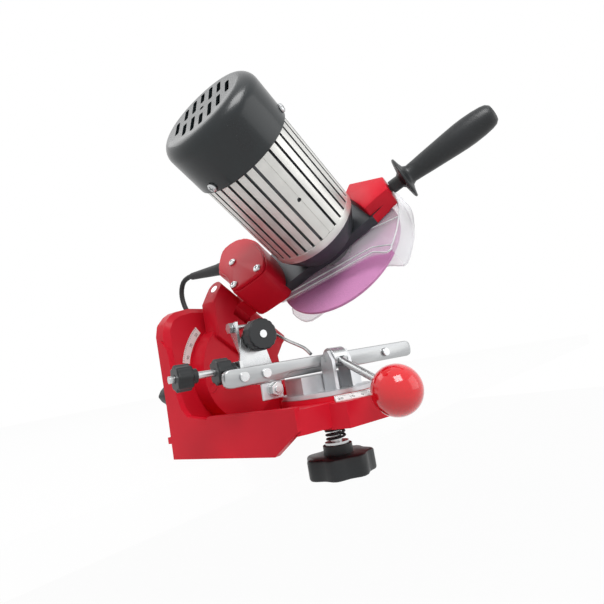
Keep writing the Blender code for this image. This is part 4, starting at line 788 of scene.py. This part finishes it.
class AddStopBolt(GrinderOperator, bpy.types.Operator):
    """Plate, bolt and hexagon nut below the front jaw"""
    bl_idname = "grinder.stop_bolt"
    bl_label = "Stop bolt"

    def build(self, sizes):
        place = VISE @ FACING_FRONT
        bm = bmesh.new()
        slab(bm, [(along, JAW_LOW + down) for along, down in NUT_PLATE], NUT_PLATE_BACK, NUT_PLATE_FRONT)
        plate = store("nut_plate", bm, "cast_silver", place=place)
        carry(round_edges(plate, 0.0008), "front_jaw", slot="zinc_steel")
        bm = bmesh.new()
        for sides, radius, depth, height in NUT_ROUNDS:
            bmesh.ops.create_cone(bm, cap_ends=True, segments=sides, radius1=radius, radius2=radius,
                                  depth=depth, matrix=Matrix.Translation((0, 0, height)))
        along, down = NUT_AT
        spot = Matrix.Translation((along, JAW_LOW + down, NUT_PLATE_FRONT))
        nut = store("jaw_nut", bm, "bright_zinc", place=place @ spot)
        carry(round_edges(nut, 0.0004, 2), "front_jaw", slot="zinc_steel")


def looking_rays(tree):
    """1 for camera, transmission and glossy rays, which show the background, 0 for rays that light."""
    nodes, links = tree.nodes, tree.links
    path = nodes.new("ShaderNodeLightPath")
    found = path.outputs["Is Camera Ray"]
    for kind in ("Is Transmission Ray", "Is Glossy Ray"):
        most = nodes.new("ShaderNodeMath")
        most.operation = "MAXIMUM"
        links.new(found, most.inputs[0])
        links.new(path.outputs[kind], most.inputs[1])
        found = most.outputs[0]
    return found


class AddStage(GrinderOperator, bpy.types.Operator):
    """Pale bench and floor, soft lights and the camera"""
    bl_idname = "grinder.stage"
    bl_label = "Stage"

    def build(self, sizes):
        self.build_ground()
        self.build_world()
        self.build_lamps()
        self.build_camera()
        bpy.context.scene.view_settings.view_transform = "Standard"

    def build_ground(self):
        """Bench and floor that look evenly pale and still take shadows from the lamps."""
        pale = bpy.data.materials.new("pale_stage")
        pale.use_nodes = True
        nodes, links = pale.node_tree.nodes, pale.node_tree.links
        nodes.clear()
        share = nodes.new("ShaderNodeMath")
        share.operation = "MULTIPLY"
        share.inputs[1].default_value = STAGE_GLOW
        links.new(looking_rays(pale.node_tree), share.inputs[0])
        matte = nodes.new("ShaderNodeBsdfDiffuse")
        matte.inputs["Color"].default_value = (0.86, 0.86, 0.86, 1)
        glow = nodes.new("ShaderNodeEmission")
        glow.inputs["Color"].default_value = (1, 1, 1, 1)
        mix = nodes.new("ShaderNodeMixShader")
        out = nodes.new("ShaderNodeOutputMaterial")
        links.new(share.outputs[0], mix.inputs["Fac"])
        links.new(matte.outputs["BSDF"], mix.inputs[1])
        links.new(glow.outputs["Emission"], mix.inputs[2])
        links.new(mix.outputs["Shader"], out.inputs["Surface"])
        FINISHES["pale_stage"] = pale
        bm = bmesh.new()
        slab(bm, BENCH, BENCH_UNDER, BENCH_TOP)
        bench = store("bench", bm, "pale_stage")
        bm = bmesh.new()
        bmesh.ops.create_grid(bm, x_segments=1, y_segments=1, size=FLOOR_HALF)
        bmesh.ops.translate(bm, verts=bm.verts[:], vec=(0, 0, FLOOR_AT))
        floor = store("floor", bm, "pale_stage")

    def build_world(self):
        world = bpy.data.worlds.new("studio")
        bpy.context.scene.world = world
        world.use_nodes = True
        nodes, links = world.node_tree.nodes, world.node_tree.links
        back = nodes["Background"]
        back.inputs["Color"].default_value = (1, 1, 1, 1)
        span = nodes.new("ShaderNodeMapRange")
        span.inputs["To Min"].default_value = ROOM_LIGHT
        span.inputs["To Max"].default_value = 1.0
        links.new(looking_rays(world.node_tree), span.inputs["Value"])
        links.new(span.outputs["Result"], back.inputs["Strength"])

    def build_lamps(self):
        for name, spot, size, power in LAMPS:
            data = bpy.data.lights.new(name, "AREA")
            data.size = size
            data.energy = power
            lamp = bpy.data.objects.new(name, data)
            bpy.context.scene.collection.objects.link(lamp)
            lamp.location = spot
            lamp.rotation_euler = (Vector(LAMP_AIM) - Vector(spot)).to_track_quat("-Z", "Y").to_euler()

    def build_camera(self):
        data = bpy.data.cameras.new("photo_camera")
        data.sensor_fit = "HORIZONTAL"
        data.sensor_width = SENSOR
        data.lens = PHOTO_FOCAL / PHOTO_WIDTH * SENSOR
        data.clip_start = 0.01
        camera = bpy.data.objects.new("photo_camera", data)
        bpy.context.scene.collection.objects.link(camera)
        turn = Matrix((CAMERA_RIGHT, CAMERA_UP, CAMERA_BACK)).transposed().to_4x4()
        camera.matrix_world = Matrix.Translation(CAMERA_AT) @ turn
        bpy.context.scene.camera = camera


# Cord route, as the part has it, its shares of CORD_SPAN; the drawn tubes are TUBE_SLACK thinner, and
# SEAM_GAPS gaps longer where the upper and the lower one meet
CORD_SPAN = 0.100
CORD_RADIUS = 0.003
CORD_LEAD = 0.0065
GAP = 0.0003
UPPER_SHARES = ((0.30, 2.12, 1.88), (0.305, 2.19, 1.76), (0.305, 2.17, 1.60), (0.30, 2.07, 1.42))
LOWER_SHARES = ((0.30, 1.98, 1.12), (0.28, 1.94, 0.76), (0.26, 1.97, 0.43), (0.245, 2.07, 0.17))
TAIL_SHARES = ((0.25, 2.62, 0.085), (0.32, 2.72, 0.05), (0.50, 2.87, 0.04), (0.66, 2.90, 0.045))
RELIEF_AT = (-0.118, 0.045, 0.0455)
RELIEF_TURN = math.radians(147)
RELIEF_LENGTH = 0.058
TUBE_SLACK = 0.00002
SEAM_GAPS = 1.4
PATH_STEPS = 3
COIL_AT = (0.064, 0.238, 0.0046)
COIL_RADIUS = 0.040
COIL_PITCH = 0.0065
COIL_TURNS = 3
COIL_CLIMB = 0.1
COIL_STEPS = 48
PLUG_AT = (0.079, 0.290, 0.0165)


def smooth_path(route, steps):
    """A smooth line through the route's points, in so many steps between two of them."""
    ends = [route[0] * 2 - route[1]] + route + [route[-1] * 2 - route[-2]]
    points = []
    for first, second, third, fourth in zip(ends, ends[1:], ends[2:], ends[3:]):
        for step in range(steps):
            t = step / steps
            points.append(second + (third - first) * (t / 2)
                          + (first * 2 - second * 5 + third * 4 - fourth) * (t * t / 2)
                          + (second * 3 - first - third * 3 + fourth) * (t * t * t / 2))
    return points + [route[-1]]


def cord_paths():
    """Centre lines of the lead's four stretches, from the strain relief to the plug."""
    way = Vector((math.cos(RELIEF_TURN), math.sin(RELIEF_TURN), 0))
    seat = Vector(RELIEF_AT)
    upper = [MOTOR @ (seat + way * (RELIEF_LENGTH + reach)) for reach in (GAP, CORD_LEAD)]
    upper += [Vector(place) * CORD_SPAN for place in UPPER_SHARES]
    upper_path = smooth_path(upper, PATH_STEPS)
    end_way = (upper_path[-1] - upper_path[-2]).normalized()
    start = upper_path[-1] + end_way * GAP * 3
    entry = Vector((COIL_AT[0] - COIL_RADIUS, COIL_AT[1] - CORD_LEAD - GAP, COIL_AT[2]))
    lower = [start, start + end_way * CORD_LEAD] + [Vector(place) * CORD_SPAN for place in LOWER_SHARES]
    lower += [entry - Vector((0, CORD_LEAD * 2, 0)), entry]
    coil = []
    total = COIL_TURNS * 2
    for step in range(total * COIL_STEPS + 1):
        turns = step / COIL_STEPS
        reach = COIL_RADIUS - COIL_PITCH * min(turns, total - turns)
        rise = min(1.0, max(0.0, (turns - COIL_TURNS + COIL_CLIMB) / (COIL_CLIMB * 2)))
        turn = math.pi - math.tau * turns
        coil.append(Vector((COIL_AT[0] + reach * math.cos(turn), COIL_AT[1] + reach * math.sin(turn),
                            COIL_AT[2] + COIL_PITCH * rise * rise * (3 - 2 * rise))))
    coil = [coil[0] - Vector((0, CORD_LEAD, 0))] + coil + [coil[-1] + Vector((0, CORD_LEAD, 0))]
    tail_start = coil[-1] + Vector((0, GAP, 0))
    plug = Vector(PLUG_AT)
    tail = [tail_start, tail_start + Vector((0, CORD_LEAD, 0))]
    tail += [Vector(place) * CORD_SPAN for place in TAIL_SHARES]
    tail += [plug - Vector((CORD_LEAD, 0, 0)), plug - Vector((GAP * 3, 0, 0))]
    return upper_path, smooth_path(lower, PATH_STEPS), coil, smooth_path(tail, PATH_STEPS)


def drawn_mesh(name, data, merge=MERGE):
    """The curve or text as a merged bmesh."""
    drawn = bpy.data.objects.new(name + "_line", data)
    bpy.context.scene.collection.objects.link(drawn)
    bpy.context.view_layer.update()
    mesh = bpy.data.meshes.new_from_object(drawn.evaluated_get(bpy.context.evaluated_depsgraph_get()))
    bpy.data.objects.remove(drawn)
    bm = bmesh.new()
    bm.from_mesh(mesh)
    bpy.data.meshes.remove(mesh)
    bmesh.ops.remove_doubles(bm, verts=bm.verts[:], dist=merge)
    return bm


def lead(name, points, radius=CORD_RADIUS, material="soft_black"):
    """A round mesh tube along the points."""
    curve = bpy.data.curves.new(name, "CURVE")
    curve.dimensions = "3D"
    curve.bevel_depth = radius - TUBE_SLACK
    curve.bevel_resolution = 4
    curve.use_fill_caps = True
    spline = curve.splines.new("POLY")
    spline.points.add(len(points) - 1)
    for target, point in zip(spline.points, points):
        target.co = (*point, 1)
    return store(name, drawn_mesh(name, curve), material, crease=SOFT_CREASE)


class AddCord(GrinderOperator, bpy.types.Operator):
    """Mains lead from the strain relief to the tied coil and the plug"""
    bl_idname = "grinder.cord"
    bl_label = "Cord"

    def build(self, sizes):
        upper, lower, coil, tail = cord_paths()
        seam = (upper[-1] - upper[-2]).normalized() * GAP * SEAM_GAPS
        top = lead("lead_upper", upper + [upper[-1] + seam])
        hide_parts("cord_upper")
        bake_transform(top)
        seam = (lower[0] - lower[1]).normalized() * GAP * SEAM_GAPS
        run = lead("lead_lower", [lower[0] + seam] + lower)
        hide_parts("cord_lower")
        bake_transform(run)
        wound = carry(lead("lead_coil", coil), "base", "cord_coil", slot="black_rubber")
        end = carry(lead("lead_tail", tail), "base", "cord_tail", slot="black_rubber")


OPERATORS = (AddStage, AddCastings, AddMotor, AddWheel, AddGuards, AddHandle, AddVise, AddLever, AddKnobs,
             AddSmallParts, AddScales, AddStopBolt, AddCord)


class GrinderPanel(bpy.types.Panel):
    """Lists the grinder's pieces"""
    bl_idname = "VIEW3D_PT_grinder"
    bl_label = "Grinder"
    bl_space_type = "VIEW_3D"
    bl_region_type = "UI"
    bl_category = "Grinder"

    def draw(self, context):
        layout = self.layout
        layout.prop(context.scene.grinder_paint, "red")
        layout.prop(context.scene.grinder_paint, "ball_red")
        layout.prop(context.scene.grinder_paint, "stone")
        layout.prop(context.scene.grinder_paint, "fins")
        layout.prop(context.scene.grinder_sizes, "edge")
        layout.prop(context.scene.grinder_sizes, "round_steps")
        layout.prop(context.scene.grinder_sizes, "ball")
        for operator in OPERATORS:
            layout.operator(operator.bl_idname)


CLASSES = (GrinderPaint, GrinderSizes) + OPERATORS + (GrinderPanel,)


def register():
    for item in CLASSES:
        bpy.utils.register_class(item)
    bpy.types.Scene.grinder_paint = bpy.props.PointerProperty(type=GrinderPaint)
    bpy.types.Scene.grinder_sizes = bpy.props.PointerProperty(type=GrinderSizes)


def unregister():
    del bpy.types.Scene.grinder_sizes
    del bpy.types.Scene.grinder_paint
    for item in reversed(CLASSES):
        bpy.utils.unregister_class(item)


def main():
    register()
    finishes()
    for operator in OPERATORS:
        family, name = operator.bl_idname.split(".")
        getattr(getattr(bpy.ops, family), name)()


if __name__ == "__main__":
    main()
